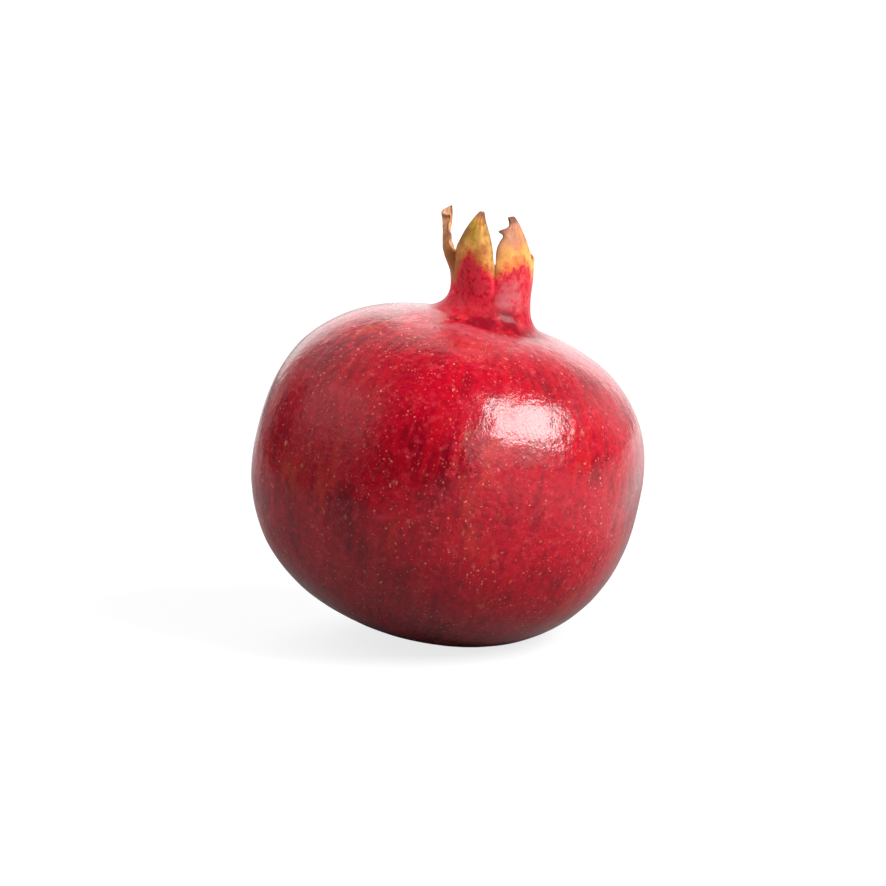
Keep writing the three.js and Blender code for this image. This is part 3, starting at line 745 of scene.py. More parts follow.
def add_sepal(surface, index, outer_rim, inner_rim):
    """One sepal: an outer and an inner grid from the rim to the tip, joined round the margins and the end.

    The outer grid has waves for veins and a noise where it has dried. The inner one lies under it by the
    thickness.
    """
    columns = (index * COLUMNS_PER_SEPAL + np.arange(COLUMNS_PER_SEPAL + 1)) % COLUMNS
    across = np.linspace(-1, 1, COLUMNS_PER_SEPAL + 1)
    v, u = np.meshgrid(np.arange(1, SEPAL_ROWS + 1) / SEPAL_ROWS, across, indexing="ij")
    base = sepal_points(index, u, v)
    square = sepal_outward(index, u, v)
    veins = VEIN_HEIGHT * np.cos(np.pi * VEIN_COUNT * u) * smooth_step(v, *JOINING) * (1 - np.abs(u) ** 4)
    crinkle = noise(base * CRINKLE_STRETCH, CRINKLE_SPACING, CRINKLE_SEED + index)
    relief = veins + CRINKLE_HEIGHT * SEPALS[index]["dry"] * crinkle
    outer = settled(base) + square * relief[..., None]
    inner = outer - square * sepal_thickness(u, v)[..., None]
    # Just short of the margins, so that each column takes this sepal's looks and not its neighbour's.
    angle = mix(NOTCH_ANGLES[index], NOTCH_ANGLES[index + 1], (u * 0.999 + 1) / 2)
    looks = sepal_looks(index, u, v, outer, angle)
    outer_rows = np.concatenate([outer_rim[columns][None], surface.add(outer, **looks)])
    inner_rows = np.concatenate([inner_rim[columns][None], surface.add(inner, inside=1.0, **looks)])
    surface.strip(outer_rows)
    surface.strip(inner_rows, inward=True)
    surface.strip(np.stack([inner_rows[:, 0], outer_rows[:, 0]], axis=1))
    surface.strip(np.stack([outer_rows[:, -1], inner_rows[:, -1]], axis=1))
    surface.strip(np.stack([outer_rows[-1], inner_rows[-1]]))


def fruit_mesh():
    """The outside, the cup and the sepals, which share the two rims' vertices."""
    surface = Surface()
    angles = column_angles()
    outer_rim = add_outside(surface, angles)
    inner_rim = add_cup(surface, angles)
    for index in range(SEPAL_COUNT):
        add_sepal(surface, index, outer_rim, inner_rim)
    return surface.mesh("fruit_skin")


# ---------- The dry stamens ----------

# A direction that no thread runs along, to turn the threads' rings by.
ASIDE = [0.31, 0.52, 0.05]


def add_tubes(surface, centres, radii, **values):
    """Tubes along curves: a ring of vertices round each centre, closed to a point at both ends.

    centres holds a row of points for each tube. Each ring is a circle square to the curve's slope.
    """
    slope = np.gradient(centres, axis=1)
    slope /= np.linalg.norm(slope, axis=-1, keepdims=True)
    sideways = np.cross(slope, ASIDE)
    sideways /= np.linalg.norm(sideways, axis=-1, keepdims=True)
    other = np.cross(slope, sideways)
    turn = np.linspace(0, 2 * np.pi, THREAD_SIDES, endpoint=False)[:, None]
    ring = np.cos(turn) * sideways[:, :, None] + np.sin(turn) * other[:, :, None]
    points = centres[:, :, None] + ring * radii[..., None, None]
    spread = {name: np.broadcast_to(value[..., None], points.shape[:-1]) for name, value in values.items()}
    numbers = surface.add(points, **spread)
    first, last = (
        surface.add(centres[:, end], **{name: value[:, end] for name, value in values.items()})
        for end in (0, -1)
    )
    for tube, start, end in zip(numbers, first, last):
        surface.strip(tube, closed=True)
        surface.fan(tube[0], start, inward=True)
        surface.fan(tube[-1], end)


def thread_curves(draw):
    """The threads' middle lines: cubic Bezier curves that lean out from the bowl, then hook back inward."""
    floor = CUP_FLOOR_HEIGHT + TUFT_GAP
    number = np.arange(THREAD_COUNT)
    share = np.sqrt((number + 0.5) / THREAD_COUNT)
    root = mix(*ROOT_RADII, share)
    angle = number * THREAD_SPIRAL + draw.uniform(*TURN_SPREAD, THREAD_COUNT)
    height = mix(*THREAD_HEIGHTS, share) + draw.uniform(*HEIGHT_SPREAD, THREAD_COUNT)
    reach = mix(*THREAD_REACHES, share) + draw.uniform(*REACH_SPREAD, THREAD_COUNT)
    twist = draw.uniform(*TWIST_SPREAD, THREAD_COUNT)
    corners = [
        polar(crown_frame, root, angle, floor + 0.4),
        polar(crown_frame, root + 0.5, angle + 0.3 * twist, mix(floor, height, 0.45)),
        polar(crown_frame, reach + 0.9, angle + twist, height + 0.6),
        polar(crown_frame, np.maximum(reach - 1.5, 0.2), angle + 1.6 * twist, height - 0.3),
    ]
    t = np.linspace(0, 1, THREAD_STEPS)[None, :, None]
    a, b, c, d = (corner[:, None] for corner in corners)
    return (1 - t) ** 3 * a + 3 * t * (1 - t) ** 2 * b + 3 * t**2 * (1 - t) * c + t**3 * d


def tuft_profile():
    """Radius and height down in the bowl's underside, up over its lip, in to the style and up to its knob."""
    floor = CUP_FLOOR_HEIGHT + TUFT_GAP
    edge = CUP_FLOOR_RADIUS - TUFT_GAP
    lip = edge + 0.25
    rim = floor + BOWL_HEIGHT
    return np.array([
        (edge - 0.3, floor),
        (edge, floor + 0.2),
        (lip, floor + 1),
        (lip, rim - 0.2),
        (lip - 0.2, rim),
        (lip - 0.6, rim - 0.1),
        (lip - BOWL_THICKNESS, floor + 2.6),
        (edge - BOWL_THICKNESS, floor + 1.6),
        (2.5, floor + 1),
        (STYLE_RADIUS, floor + BOWL_THICKNESS + 0.5),
        (0.8 * STYLE_RADIUS, floor + 4),
        (0.7 * STYLE_RADIUS, STYLE_TOP - 2),
        (STYLE_RADIUS, STYLE_TOP - 1),
        (1.4 * STYLE_RADIUS, STYLE_TOP - 0.5),
        (1.1 * STYLE_RADIUS, STYLE_TOP - 0.1),
    ]).T[..., None]


def stamens_mesh():
    """The bowl with the style, its profile turned round the crown's axis, and the threads with their anthers.

    A thread tapers along its length, and its anther is an ellipse of radii near its end.
    """
    surface = Surface()
    draw = np.random.default_rng(TUFT_SEED)
    radius, height = tuft_profile()
    angle = np.linspace(0, 360, BOWL_SIDES, endpoint=False)
    wave = 1 + 0.03 * sin_deg(9 * angle) * smooth_step(radius, 1, 3)
    plain = dict(along=0.1, tone=0.4)
    numbers = surface.add(polar(crown_frame, radius * wave, angle, height), **plain)
    surface.strip(numbers, closed=True)
    surface.close(numbers[0], polar(crown_frame, 0, 0, CUP_FLOOR_HEIGHT + TUFT_GAP), inward=True, **plain)
    surface.close(numbers[-1], polar(crown_frame, 0, 0, STYLE_TOP), **plain)

    centres = thread_curves(draw)
    t = np.linspace(0, 1, THREAD_STEPS)
    anther = np.sqrt(np.clip(1 - ((t - ANTHER_AT) / ANTHER_HALF) ** 2, 0, 1))
    radii = np.maximum(THREAD_RADIUS * mix(*THREAD_TAPER, t), ANTHER_RADIUS * anther)
    radii = radii * draw.uniform(*RADIUS_SPREAD, (THREAD_COUNT, 1))
    tone = np.broadcast_to(draw.uniform(0, 1, (THREAD_COUNT, 1)), radii.shape)
    add_tubes(surface, centres, radii, along=np.broadcast_to(t, radii.shape), tone=tone)
    return surface.mesh("stamen_tuft")


# ---------- The stalk's stump ----------

# Shares of the stump's radius, and heights in millimetres.
CUT_MIDDLE = 0.04
CUT_EDGE = 0.84
CUT_CROWN = 0.12
CUT_TOP = 0.24
EDGE_WIDTH = 0.13
EDGE_HEIGHT = 0.4
BARK_SHARE = 0.97
BARK_WAVE = 0.02
WOOD_RINGS = 26.0
RING_HEIGHT = 0.03
PITH_DEPTH = 0.12
GROOVE_COUNT = 5
GROOVE_DEPTH = 0.05
FINE_GROOVE_COUNT = 23
FINE_GROOVE_DEPTH = 0.015
FINE_GROOVE_TWIST = 40
BARK_UNEVENNESS = 0.02
BARK_SPACING = 0.9
BARK_SEED = 21


def stump_profile(inner, outer):
    """Share of the radius and height: a slightly domed cut end, a quarter turn of worn edge and the bark."""
    profile = [(s, outer + CUT_CROWN - CUT_CROWN * s**2) for s in np.linspace(CUT_MIDDLE, CUT_EDGE, 22)]
    for t in np.linspace(0.2, np.pi / 2, 8):
        profile.append((CUT_EDGE + EDGE_WIDTH * np.sin(t), outer + EDGE_HEIGHT * (1 - np.cos(t))))
    for t in np.linspace(0, 1, 40)[1:]:
        profile.append((BARK_SHARE + BARK_WAVE * np.sin(9 * t), mix(outer + EDGE_HEIGHT, inner, t)))
    return np.array(profile).T[..., None]


def stalk_mesh():
    """A peg turned round the body's axis: grooved bark, a worn edge and a cut end with a pith dimple.

    The grooves are two waves round the axis, the finer one twisted along it, and a noise makes them uneven.
    """
    surface = Surface()
    radius = SOCKET_RADIUS - STALK_GAP
    inner, outer = SOCKET_DEPTH - LOWER_HEIGHT - STALK_GAP, BASIN_DEPTH - LOWER_HEIGHT - STALK_PROUD
    share, height = stump_profile(inner, outer)
    angle = np.linspace(0, 360, 120, endpoint=False)
    fine = cos_deg(FINE_GROOVE_COUNT * angle + FINE_GROOVE_TWIST * height)
    grooves = 1 - GROOVE_DEPTH * (1 + cos_deg(GROOVE_COUNT * angle)) - FINE_GROOVE_DEPTH * (1 + fine)
    grooves = mix(1, grooves, smooth_step(share, 0.5, BARK_SHARE))
    around = polar(body_frame, 3 * share, angle, height)
    wobble = 1 + BARK_UNEVENNESS * noise(around, BARK_SPACING, BARK_SEED)
    rings = RING_HEIGHT * np.sin(WOOD_RINGS * share) * smooth_step(share, 0.1, 0.3) * (share < CUT_EDGE)
    pith = PITH_DEPTH * (1 - smooth_step(share, 0.1, 0.22))
    rows = polar(body_frame, radius * share * grooves * wobble, angle, height + rings + pith)
    numbers = surface.add(rows, cut=1 - smooth_step(share, 0.8, 0.9), share=share)
    surface.strip(numbers, closed=True)
    surface.close(numbers[0], polar(body_frame, 0, 0, outer + CUT_TOP), inward=True, cut=1.0, share=0.0)
    surface.close(numbers[-1], polar(body_frame, 0, 0, inner), share=0.0)
    return surface.mesh("stalk_stump")


# ---------- Materials ----------

# The places of the Mix node's sockets for colours: its amount and two inputs, and its output.
MIX_AMOUNT, MIX_FIRST, MIX_SECOND = 0, 6, 7
MIX_RESULT = 2

# The inputs of the shared mottling, with the values that they have where a material gives none.
MOTTLING = dict(Size=1.0, Detail=3.0, Roughness=0.6, Low=0.0, High=1.0, Amount=1.0)

# The higher this power, the fewer of the spots are large.
SPOT_RARITY = 1.5


def add_node(tree, kind, inputs=None, **settings):
    """A node with its settings, whose inputs are given as numbers, colours or other nodes' outputs."""
    made = tree.nodes.new(kind)
    for name, value in settings.items():
        setattr(made, name, value)
    for name, value in (inputs or {}).items():
        if isinstance(value, bpy.types.NodeSocket):
            tree.links.new(value, made.inputs[name])
        else:
            made.inputs[name].default_value = value
    return made


def maths(tree, operation, *values):
    """One operation on numbers or other nodes' outputs."""
    return add_node(tree, "ShaderNodeMath", dict(enumerate(values)), operation=operation).outputs[0]


def chained(tree, operation, values):
    """The values put together two at a time by an operation, from the first to the last."""
    return functools.reduce(lambda whole, value: maths(tree, operation, whole, value), values)


def product(tree, *values):
    """All the values multiplied together."""
    return chained(tree, "MULTIPLY", values)


def total(tree, *values):
    """All the values added together."""
    return chained(tree, "ADD", values)


def highest(tree, *values):
    """The highest of the values."""
    return chained(tree, "MAXIMUM", values)


def ramp(tree, value, low, high):
    """0 where the value is at low and 1 at high, with an ease between, whichever of the two is higher."""
    inputs = {"Value": value, "From Min": low, "From Max": high}
    return add_node(tree, "ShaderNodeMapRange", inputs, interpolation_type="SMOOTHSTEP").outputs["Result"]


def blend(tree, amount, first, second):
    """Two colours mixed by an amount."""
    first, second = (c if isinstance(c, bpy.types.NodeSocket) else (*c, 1) for c in (first, second))
    inputs = {MIX_AMOUNT: amount, MIX_FIRST: first, MIX_SECOND: second}
    return add_node(tree, "ShaderNodeMix", inputs, data_type="RGBA", clamp_factor=True).outputs[MIX_RESULT]


def attribute(tree, name, kind="Fac"):
    """The value that the vertices hold under a name: a number, or three with the kind Vector."""
    return add_node(tree, "ShaderNodeAttribute", attribute_name=name).outputs[kind]


def scaled(tree, vector, scale):
    """Coordinates multiplied by a number along each of their axes."""
    return add_node(tree, "ShaderNodeMapping", {"Vector": vector, "Scale": scale}).outputs["Vector"]


def millimetres(tree):
    """The object's own coordinates, in millimetres."""
    return scaled(tree, add_node(tree, "ShaderNodeTexCoord").outputs["Object"], [1 / MM] * 3)


def grain(tree, where, size, detail, rough, distortion=0.0):
    """A noise from 0 to 1 whose features are about size across."""
    inputs = {"Vector": where, "Scale": 1 / size, "Detail": detail, "Roughness": rough}
    inputs["Distortion"] = distortion
    return add_node(tree, "ShaderNodeTexNoise", inputs).outputs["Fac"]


def wander(tree, where, size, reach):
    """The coordinates pushed about by up to half the reach, over distances of about size."""
    inputs = {"Vector": where, "Scale": 1 / size, "Detail": 1.0}
    push = add_node(tree, "ShaderNodeTexNoise", inputs).outputs["Color"]
    moved = {0: push, 1: (reach, reach, reach), 2: where}
    return add_node(tree, "ShaderNodeVectorMath", moved, operation="MULTIPLY_ADD").outputs["Vector"]


def spots(tree, where, spacing, radius, soft):
    """Round spots, one to a cell: 1 inside, easing to 0 over soft, with a size drawn from each cell."""
    cells = add_node(tree, "ShaderNodeTexVoronoi", {"Vector": where, "Scale": 1 / spacing})
    draw = add_node(tree, "ShaderNodeSeparateColor", {"Color": cells.outputs["Color"]}).outputs["Red"]
    size = product(tree, maths(tree, "POWER", draw, SPOT_RARITY), radius / spacing)
    gap = maths(tree, "SUBTRACT", size, cells.outputs["Distance"])
    return ramp(tree, gap, -soft / spacing, soft / spacing)


def mottling_group():
    """The mottling of skin, threads and bark: an uneven height, and a mask of it that places a colour.

    The height is a noise whose features are about Size across. The mask rises from 0 at Low to Amount at
    High, or falls where Low is above High.
    """
    group = bpy.data.node_groups.new("mottling", "ShaderNodeTree")
    group.interface.new_socket("Vector", in_out="INPUT", socket_type="NodeSocketVector")
    for name in MOTTLING:
        group.interface.new_socket(name, in_out="INPUT", socket_type="NodeSocketFloat")
    for name in ("Mask", "Height"):
        group.interface.new_socket(name, in_out="OUTPUT", socket_type="NodeSocketFloat")
    given = add_node(group, "NodeGroupInput").outputs
    inputs = {name: given[name] for name in ("Vector", "Detail", "Roughness")}
    inputs["Scale"] = maths(group, "DIVIDE", 1.0, given["Size"])
    height = add_node(group, "ShaderNodeTexNoise", inputs).outputs["Fac"]
    mask = product(group, ramp(group, height, given["Low"], given["High"]), given["Amount"])
    add_node(group, "NodeGroupOutput", {"Mask": mask, "Height": height})


def mottling(tree, where, **values):
    """The shared mottling placed in a material with its own values: the node's outputs, Mask and Height."""
    inputs = {"Vector": where, **MOTTLING, **values}
    return add_node(tree, "ShaderNodeGroup", inputs, node_tree=bpy.data.node_groups["mottling"]).outputs


def layered(tree, colour, values, layers):
    """A colour with its layers laid over it, each by a ramp of its value times its amount."""
    for name, low, high, amount, over in layers:
        if isinstance(amount, str):
            amount = attribute(tree, amount)
        colour = blend(tree, product(tree, ramp(tree, values[name], low, high), amount), colour, over)
    return colour


def frayed(tree, name, noises, strengths):
    """An attribute made uneven: it gains each noise's distance above one half times that noise's strength."""
    value = attribute(tree, name)
    for kind, strength in strengths.items():
        value = total(tree, value, product(tree, maths(tree, "SUBTRACT", noises[kind], 0.5), strength))
    return value


def new_material(name):
    """An empty material and its node tree."""
    made = bpy.data.materials.new(name)
    made.use_nodes = True
    made.node_tree.nodes.clear()
    return made, made.node_tree


def finish_material(tree, height=None, depth=0.0, strength=1.0, coated=False, **inputs):
    """The shader and the output, with each input a number, a colour or another node's output.

    A height, if there is one, makes a bump of that depth in millimetres, on the coat too where there is one.
    """
    named = {key.replace("_", " "): value for key, value in inputs.items()}
    if height is not None:
        inputs = {"Strength": strength, "Distance": depth * MM, "Height": height}
        bump = add_node(tree, "ShaderNodeBump", inputs)
        for socket in ("Normal", "Coat Normal") if coated else ("Normal",):
            named[socket] = bump.outputs["Normal"]
    shader = add_node(tree, "ShaderNodeBsdfPrincipled", named)
    add_node(tree, "ShaderNodeOutputMaterial", {"Surface": shader.outputs["BSDF"]})


# ---------- The skin ----------

CRIMSON = (0.37, 0.0008, 0.013)
MAROON = (0.15, 0.0004, 0.007)
SCARLET = (0.44, 0.0025, 0.010)
ROSE = (0.46, 0.018, 0.036)
ORANGE_BLUSH = (0.46, 0.038, 0.014)
SPECK = (0.62, 0.22, 0.16)
OCHRE_SPOT = (0.45, 0.19, 0.06)
# Pale pink over the skin: partly its bloom, partly painted sheen.
BLOOM_AND_SHEEN = (0.46, 0.12, 0.14)
NECK_RED = (0.48, 0.003, 0.016)
# Painted light: the brighter red of the upper neck where little light reaches it.
NECK_PAINTED_LIGHT = (0.90, 0.022, 0.060)
NECK_DEEP = (0.40, 0.001, 0.010)
NECK_CORAL = (0.50, 0.045, 0.055)
# Painted shade: the dark red of the foot, in the crease round the neck's root.
FOOT_SHADE = (0.17, 0.0004, 0.008)
CROWN_ORANGE = (0.72, 0.16, 0.04)
CROWN_OCHRE = (0.66, 0.30, 0.08)
CROWN_PALE = (0.95, 0.50, 0.14)
CROWN_OLIVE = (0.50, 0.29, 0.04)
CROWN_BROWN = (0.40, 0.155, 0.05)
DRY_BROWN = (0.30, 0.12, 0.055)
DRY_PINK = (0.44, 0.185, 0.11)
# Partly painted light: a real tan made paler to stand for light shining through the thin dry sepals.
BACKLIT_DRY_TAN = (0.93, 0.48, 0.26)
SCORCHED = (0.16, 0.065, 0.035)
CUP_PALE = (0.60, 0.36, 0.17)
CUP_RED = (0.38, 0.07, 0.04)

# Layers over a colour, in order. Each has the value that places it, where on that value it starts and where
# it is full, its amount, or the name of the attribute that holds it, and its colour.
SKIN_LAYERS = [
    ("streaks", 0.48, 0.34, 0.55, MAROON),
    ("fibre", 0.35, 0.7, 0.7, SCARLET),
    ("mottle", 0.52, 0.38, 0.45, MAROON),
    ("rosy", 0.5, 0.75, 0.75, ROSE),
    ("blush", 0.56, 0.76, 0.65, ORANGE_BLUSH),
]
NECK_LAYERS = [
    ("mottle", 0.54, 0.34, 0.8, NECK_DEEP),
    ("rosy_mottle", 0.8, 1.25, "coral", NECK_CORAL),
]
BLOOM_AND_SHEEN_LAYERS = [("rosy", 0.1, 0.8, "bloom", BLOOM_AND_SHEEN)]
CROWN_LAYERS = [
    ("blotch", 0.5, 0.7, 0.6, CROWN_ORANGE),
    ("blotch", 0.9, 0.5, "olive", CROWN_OLIVE),
    ("mottle", 0.1, 0.5, "brown", CROWN_BROWN),
    ("rosy", 0.54, 0.36, 0.5, CROWN_BROWN),
    ("mottle", 0.42, 0.3, 0.4, DRY_BROWN),
]
DRIED_LAYERS = [("mottle", 0.55, 0.36, 0.6, DRY_BROWN)]
SCORCHED_LAYERS = [("mottle", 0.2, 0.5, "scorch", SCORCHED)]

# Specks: their spacing, their largest radius and the softness of their edge, in millimetres.
FINE_SPECKS = (0.75, 0.19, 0.09)
BOLD_SPECKS = (1.35, 0.29, 0.12)
OCHRE_SPECKS = (5, 0.55, 0.3)
SPECK_AMOUNT = 0.5
BOLD_LEAST = 0.25
OCHRE_AMOUNT = 0.4

# By how much each noise frays the red's upper edge, in millimetres, and the dried parts.
RED_FRAY = dict(fibre=3, mottle=6)
DRY_FRAY = dict(mottle=1.2, blotch=1.6)

# Heights above the red over which the crown's colours and its loss of gloss set in.
RED_EDGE = (-1.2, 1.2)
OCHRE_EDGE = (0.5, 3.5)
CUP_EDGE = (-9, 1)
MATTE_EDGE = (-1, 4)

# Dryness over which the dried colours and their loss of gloss set in.
DRY_EDGE = (0.2, 1.2)
DRY_MATTE_EDGE = (0.2, 0.8)

# How fully each change shows, and the wax's and the roughness's share in it.
CUP_AMOUNT = 0.8
NECK_AMOUNT = 0.9
CROWN_MATTE = 0.75
NECK_MATTE = 0.8
FOOT_MATTE = 0.9
WAX_LOSS = 0.85
SKIN_ROUGHNESS = 0.38
MATTE_ROUGHNESS = 0.25

# How much of the bump's depth is leather, peel, fibres and specks.
LEATHER = 0.85
PEEL = 1.6
FIBRE = 0.4
SPECK_RISE = 0.08
SKIN_DEPTH = 0.11


def skin_noises(tree, here, run):
    """The noises that place the skin's looks. Fibres, streaks and blushes are drawn out along the run."""
    drawn_out = scaled(tree, run, (1, 1, 0.5))
    noises = dict(
        fibre=grain(tree, scaled(tree, run, (1, 1, 0.12)), size=2.2, detail=4.0, rough=0.6),
        mottle=mottling(tree, here, Size=1.3)["Height"],
        rosy=mottling(tree, here, Size=2.2)["Height"],
        blotch=mottling(tree, here, Size=3.4, Detail=2.0, Roughness=0.5)["Height"],
        streaks=mottling(tree, drawn_out, Size=4.5)["Height"],
        blush=mottling(tree, drawn_out, Size=12)["Height"],
    )
    noises["rosy_mottle"] = total(tree, noises["rosy"], noises["mottle"])
    return noises


def skin_colour(tree, here, noises, bold):
    """The red skin: crimson clouds over maroon, the skin's layers, and pale specks where they are dense."""
    clouds = mottling(tree, here, Size=17, Roughness=0.55, Low=0.30, High=0.56)["Mask"]
    dense = mottling(tree, here, Size=8, Detail=2.0, Roughness=0.5, Low=0.34, High=0.6)["Mask"]
    red = layered(tree, blend(tree, clouds, MAROON, CRIMSON), noises, SKIN_LAYERS)
    wandering = wander(tree, here, size=1.25, reach=1.1)
    fine = spots(tree, wandering, *FINE_SPECKS)
    rare = spots(tree, wandering, *OCHRE_SPECKS)
    red = blend(tree, product(tree, fine, SPECK_AMOUNT, dense), red, SPECK)
    red = blend(tree, product(tree, rare, OCHRE_AMOUNT), red, OCHRE_SPOT)
    bold = product(tree, bold, total(tree, product(tree, dense, SPECK_AMOUNT), BOLD_LEAST))
    return blend(tree, bold, red, SPECK)


def neck_colour(tree, here, red, noises):
    """The skin with the neck's reds, coral in front, painted light behind, painted shade at its foot, bloom
    and painted sheen.
    """
    # Painted light: the upper neck painted brighter red.
    vivid = blend(tree, attribute(tree, "bright"), NECK_RED, NECK_PAINTED_LIGHT)
    vivid = layered(tree, vivid, noises, NECK_LAYERS)
    red = blend(tree, product(tree, attribute(tree, "neck"), NECK_AMOUNT), red, vivid)
    # Painted shade at the foot, broken into patches.
    foot_shade_patches = mottling(tree, here, Size=4, Roughness=0.5, Low=0.72, High=0.5, Amount=0.95)["Mask"]
    red = blend(tree, product(tree, attribute(tree, "foot"), foot_shade_patches), red, FOOT_SHADE)
    # Pale bloom and painted sheen over it all.
    return layered(tree, red, noises, BLOOM_AND_SHEEN_LAYERS)


def crown_colour(tree, noises, up, inside):
    """The crown above the red: orange, then ochre, with olive and brown outside, and a paler cup inside."""
    ochre = blend(tree, attribute(tree, "pale"), CROWN_OCHRE, CROWN_PALE)
    crown = blend(tree, ramp(tree, up, *OCHRE_EDGE), CROWN_ORANGE, ochre)
    crown = layered(tree, crown, noises, CROWN_LAYERS)
    cup = blend(tree, ramp(tree, up, *CUP_EDGE), CUP_RED, CUP_PALE)
    return blend(tree, product(tree, inside, CUP_AMOUNT), crown, cup)


def dry_colour(tree, colour, noises, dry):
    """The colour where the sepals have dried to pink or to tan, paler with painted backlight, and where tips
    and margins are scorched.
    """
    dried = blend(tree, attribute(tree, "brown"), DRY_PINK, BACKLIT_DRY_TAN)
    dried = layered(tree, dried, noises, DRIED_LAYERS)
    colour = blend(tree, ramp(tree, dry, *DRY_EDGE), colour, dried)
    return layered(tree, colour, noises, SCORCHED_LAYERS)


def skin_material():
    """Glossy red skin with fibres, mottling and pale specks, ochre up the crown and brown where it is dry.

    Wax lies over it as a coat, thinner where the skin is matte: on the crown, the neck, the foot and the cup.
    """
    made, tree = new_material("pomegranate_skin")
    here = millimetres(tree)
    noises = skin_noises(tree, here, attribute(tree, "run", "Vector"))
    bold = spots(tree, wander(tree, here, size=2, reach=1.6), *BOLD_SPECKS)
    inside = attribute(tree, "inside")
    up = frayed(tree, "ochre", noises, RED_FRAY)
    dry = frayed(tree, "dry", noises, DRY_FRAY)
    red = neck_colour(tree, here, skin_colour(tree, here, noises, bold), noises)
    crown = crown_colour(tree, noises, up, inside)
    colour = blend(tree, highest(tree, ramp(tree, up, *RED_EDGE), inside), red, crown)
    matte = highest(
        tree, product(tree, ramp(tree, up, *MATTE_EDGE), CROWN_MATTE),
        ramp(tree, dry, *DRY_MATTE_EDGE), inside,
        product(tree, attribute(tree, "neck"), NECK_MATTE),
        product(tree, attribute(tree, "foot"), FOOT_MATTE),
    )
    leather = grain(tree, here, size=1.2, detail=2.5, rough=0.55, distortion=0.5)
    peel = grain(tree, here, size=3.2, detail=3.0, rough=0.5)
    height = total(
        tree, product(tree, leather, LEATHER), product(tree, peel, PEEL),
        product(tree, noises["fibre"], FIBRE), product(tree, bold, SPECK_RISE),
    )
    finish_material(
        tree, height, SKIN_DEPTH, coated=True, Base_Color=dry_colour(tree, colour, noises, dry),
        Roughness=total(tree, SKIN_ROUGHNESS, product(tree, matte, MATTE_ROUGHNESS)), Specular_IOR_Level=0.04,
        Coat_Weight=maths(tree, "SUBTRACT", 1.0, product(tree, matte, WAX_LOSS)), Coat_Roughness=0.18,
        Coat_IOR=1.45,
    )
    return made


# ---------- The stamens and the stalk ----------

THREAD_TAN = (0.42, 0.21, 0.085)
THREAD_BROWN = (0.20, 0.085, 0.035)
ANTHER_DUST = (0.46, 0.33, 0.13)
THREAD_LAYERS = [("along", 0.45, 0.0, 0.6, THREAD_BROWN), ("along", 0.8, 0.86, 1.0, ANTHER_DUST)]

BARK = (0.17, 0.10, 0.06)
BARK_PALE = (0.36, 0.25, 0.16)
CUT_WOOD = (0.55, 0.40, 0.24)
PITH = (0.30, 0.17, 0.09)
CUT_LAYERS = [("rings", -0.2, 1, 0.4, BARK_PALE), ("share", 0.24, 0.12, 1.0, PITH)]


def stamen_material():
    """Dry threads from tan to brown, darker at the foot, with dusty yellow-brown anthers."""
    made, tree = new_material("dry_stamen")
    speckle = mottling(tree, millimetres(tree), Size=0.5, Low=0.6, High=0.35, Amount=0.5)
    thread = blend(tree, attribute(tree, "tone"), THREAD_BROWN, THREAD_TAN)
    thread = layered(tree, thread, dict(along=attribute(tree, "along")), THREAD_LAYERS)
    finish_material(
        tree, speckle["Height"], depth=0.08, strength=0.8,
        Base_Color=blend(tree, speckle["Mask"], thread, THREAD_BROWN),
        Roughness=total(tree, 0.7, product(tree, speckle["Height"], 0.2)),
    )
    return made


def stalk_material():
    """Grey-brown bark along the side, and a weathered cut end with faint rings round a darker pith."""
    made, tree = new_material("stalk_wood")
    here = millimetres(tree)
    share = attribute(tree, "share")
    flakes = mottling(tree, here, Size=0.7, Detail=4.0, Low=0.4, High=0.62)
    stains = mottling(tree, here, Size=0.7, Detail=4.0, Low=0.55, High=0.4, Amount=0.5)["Mask"]
    rings = maths(tree, "SINE", product(tree, share, WOOD_RINGS))
    end = blend(tree, stains, layered(tree, CUT_WOOD, dict(rings=rings, share=share), CUT_LAYERS), BARK)
    bark = blend(tree, flakes["Mask"], BARK, BARK_PALE)
    finish_material(
        tree, flakes["Height"], depth=0.15, strength=0.9,
        Base_Color=blend(tree, attribute(tree, "cut"), bark, end),
        Roughness=total(tree, 0.65, product(tree, flakes["Height"], 0.2)),
    )
    return made


# ---------- Studio ----------

CAMERA_ELEVATION = 9.5
CAMERA_DISTANCE = 900
CAMERA_TARGET = (-7.66, -0.29, 48.6)
CAMERA_REACH = 30
FRAME_PIXELS = 886
PIXELS_PER_MM = 4.06
SENSOR = 36
LIGHT_CENTRE = Vector((-3.06, -0.29, 45)) * MM
UPRIGHT = Vector((0, 0, 1))

# The main light, two panels side by side: the azimuth and elevation of each, its distance and its size.
KEY_UP = Vector((-0.17, 0.76, 0.63))
KEY_GLOW = 19.5
KEY_PANELS = [
    ("key_right", (67.8, 34), 1.0, (0.31, 0.6)),
    ("key_left", (48.3, 39.3), 1.02, (0.2, 0.57)),
]

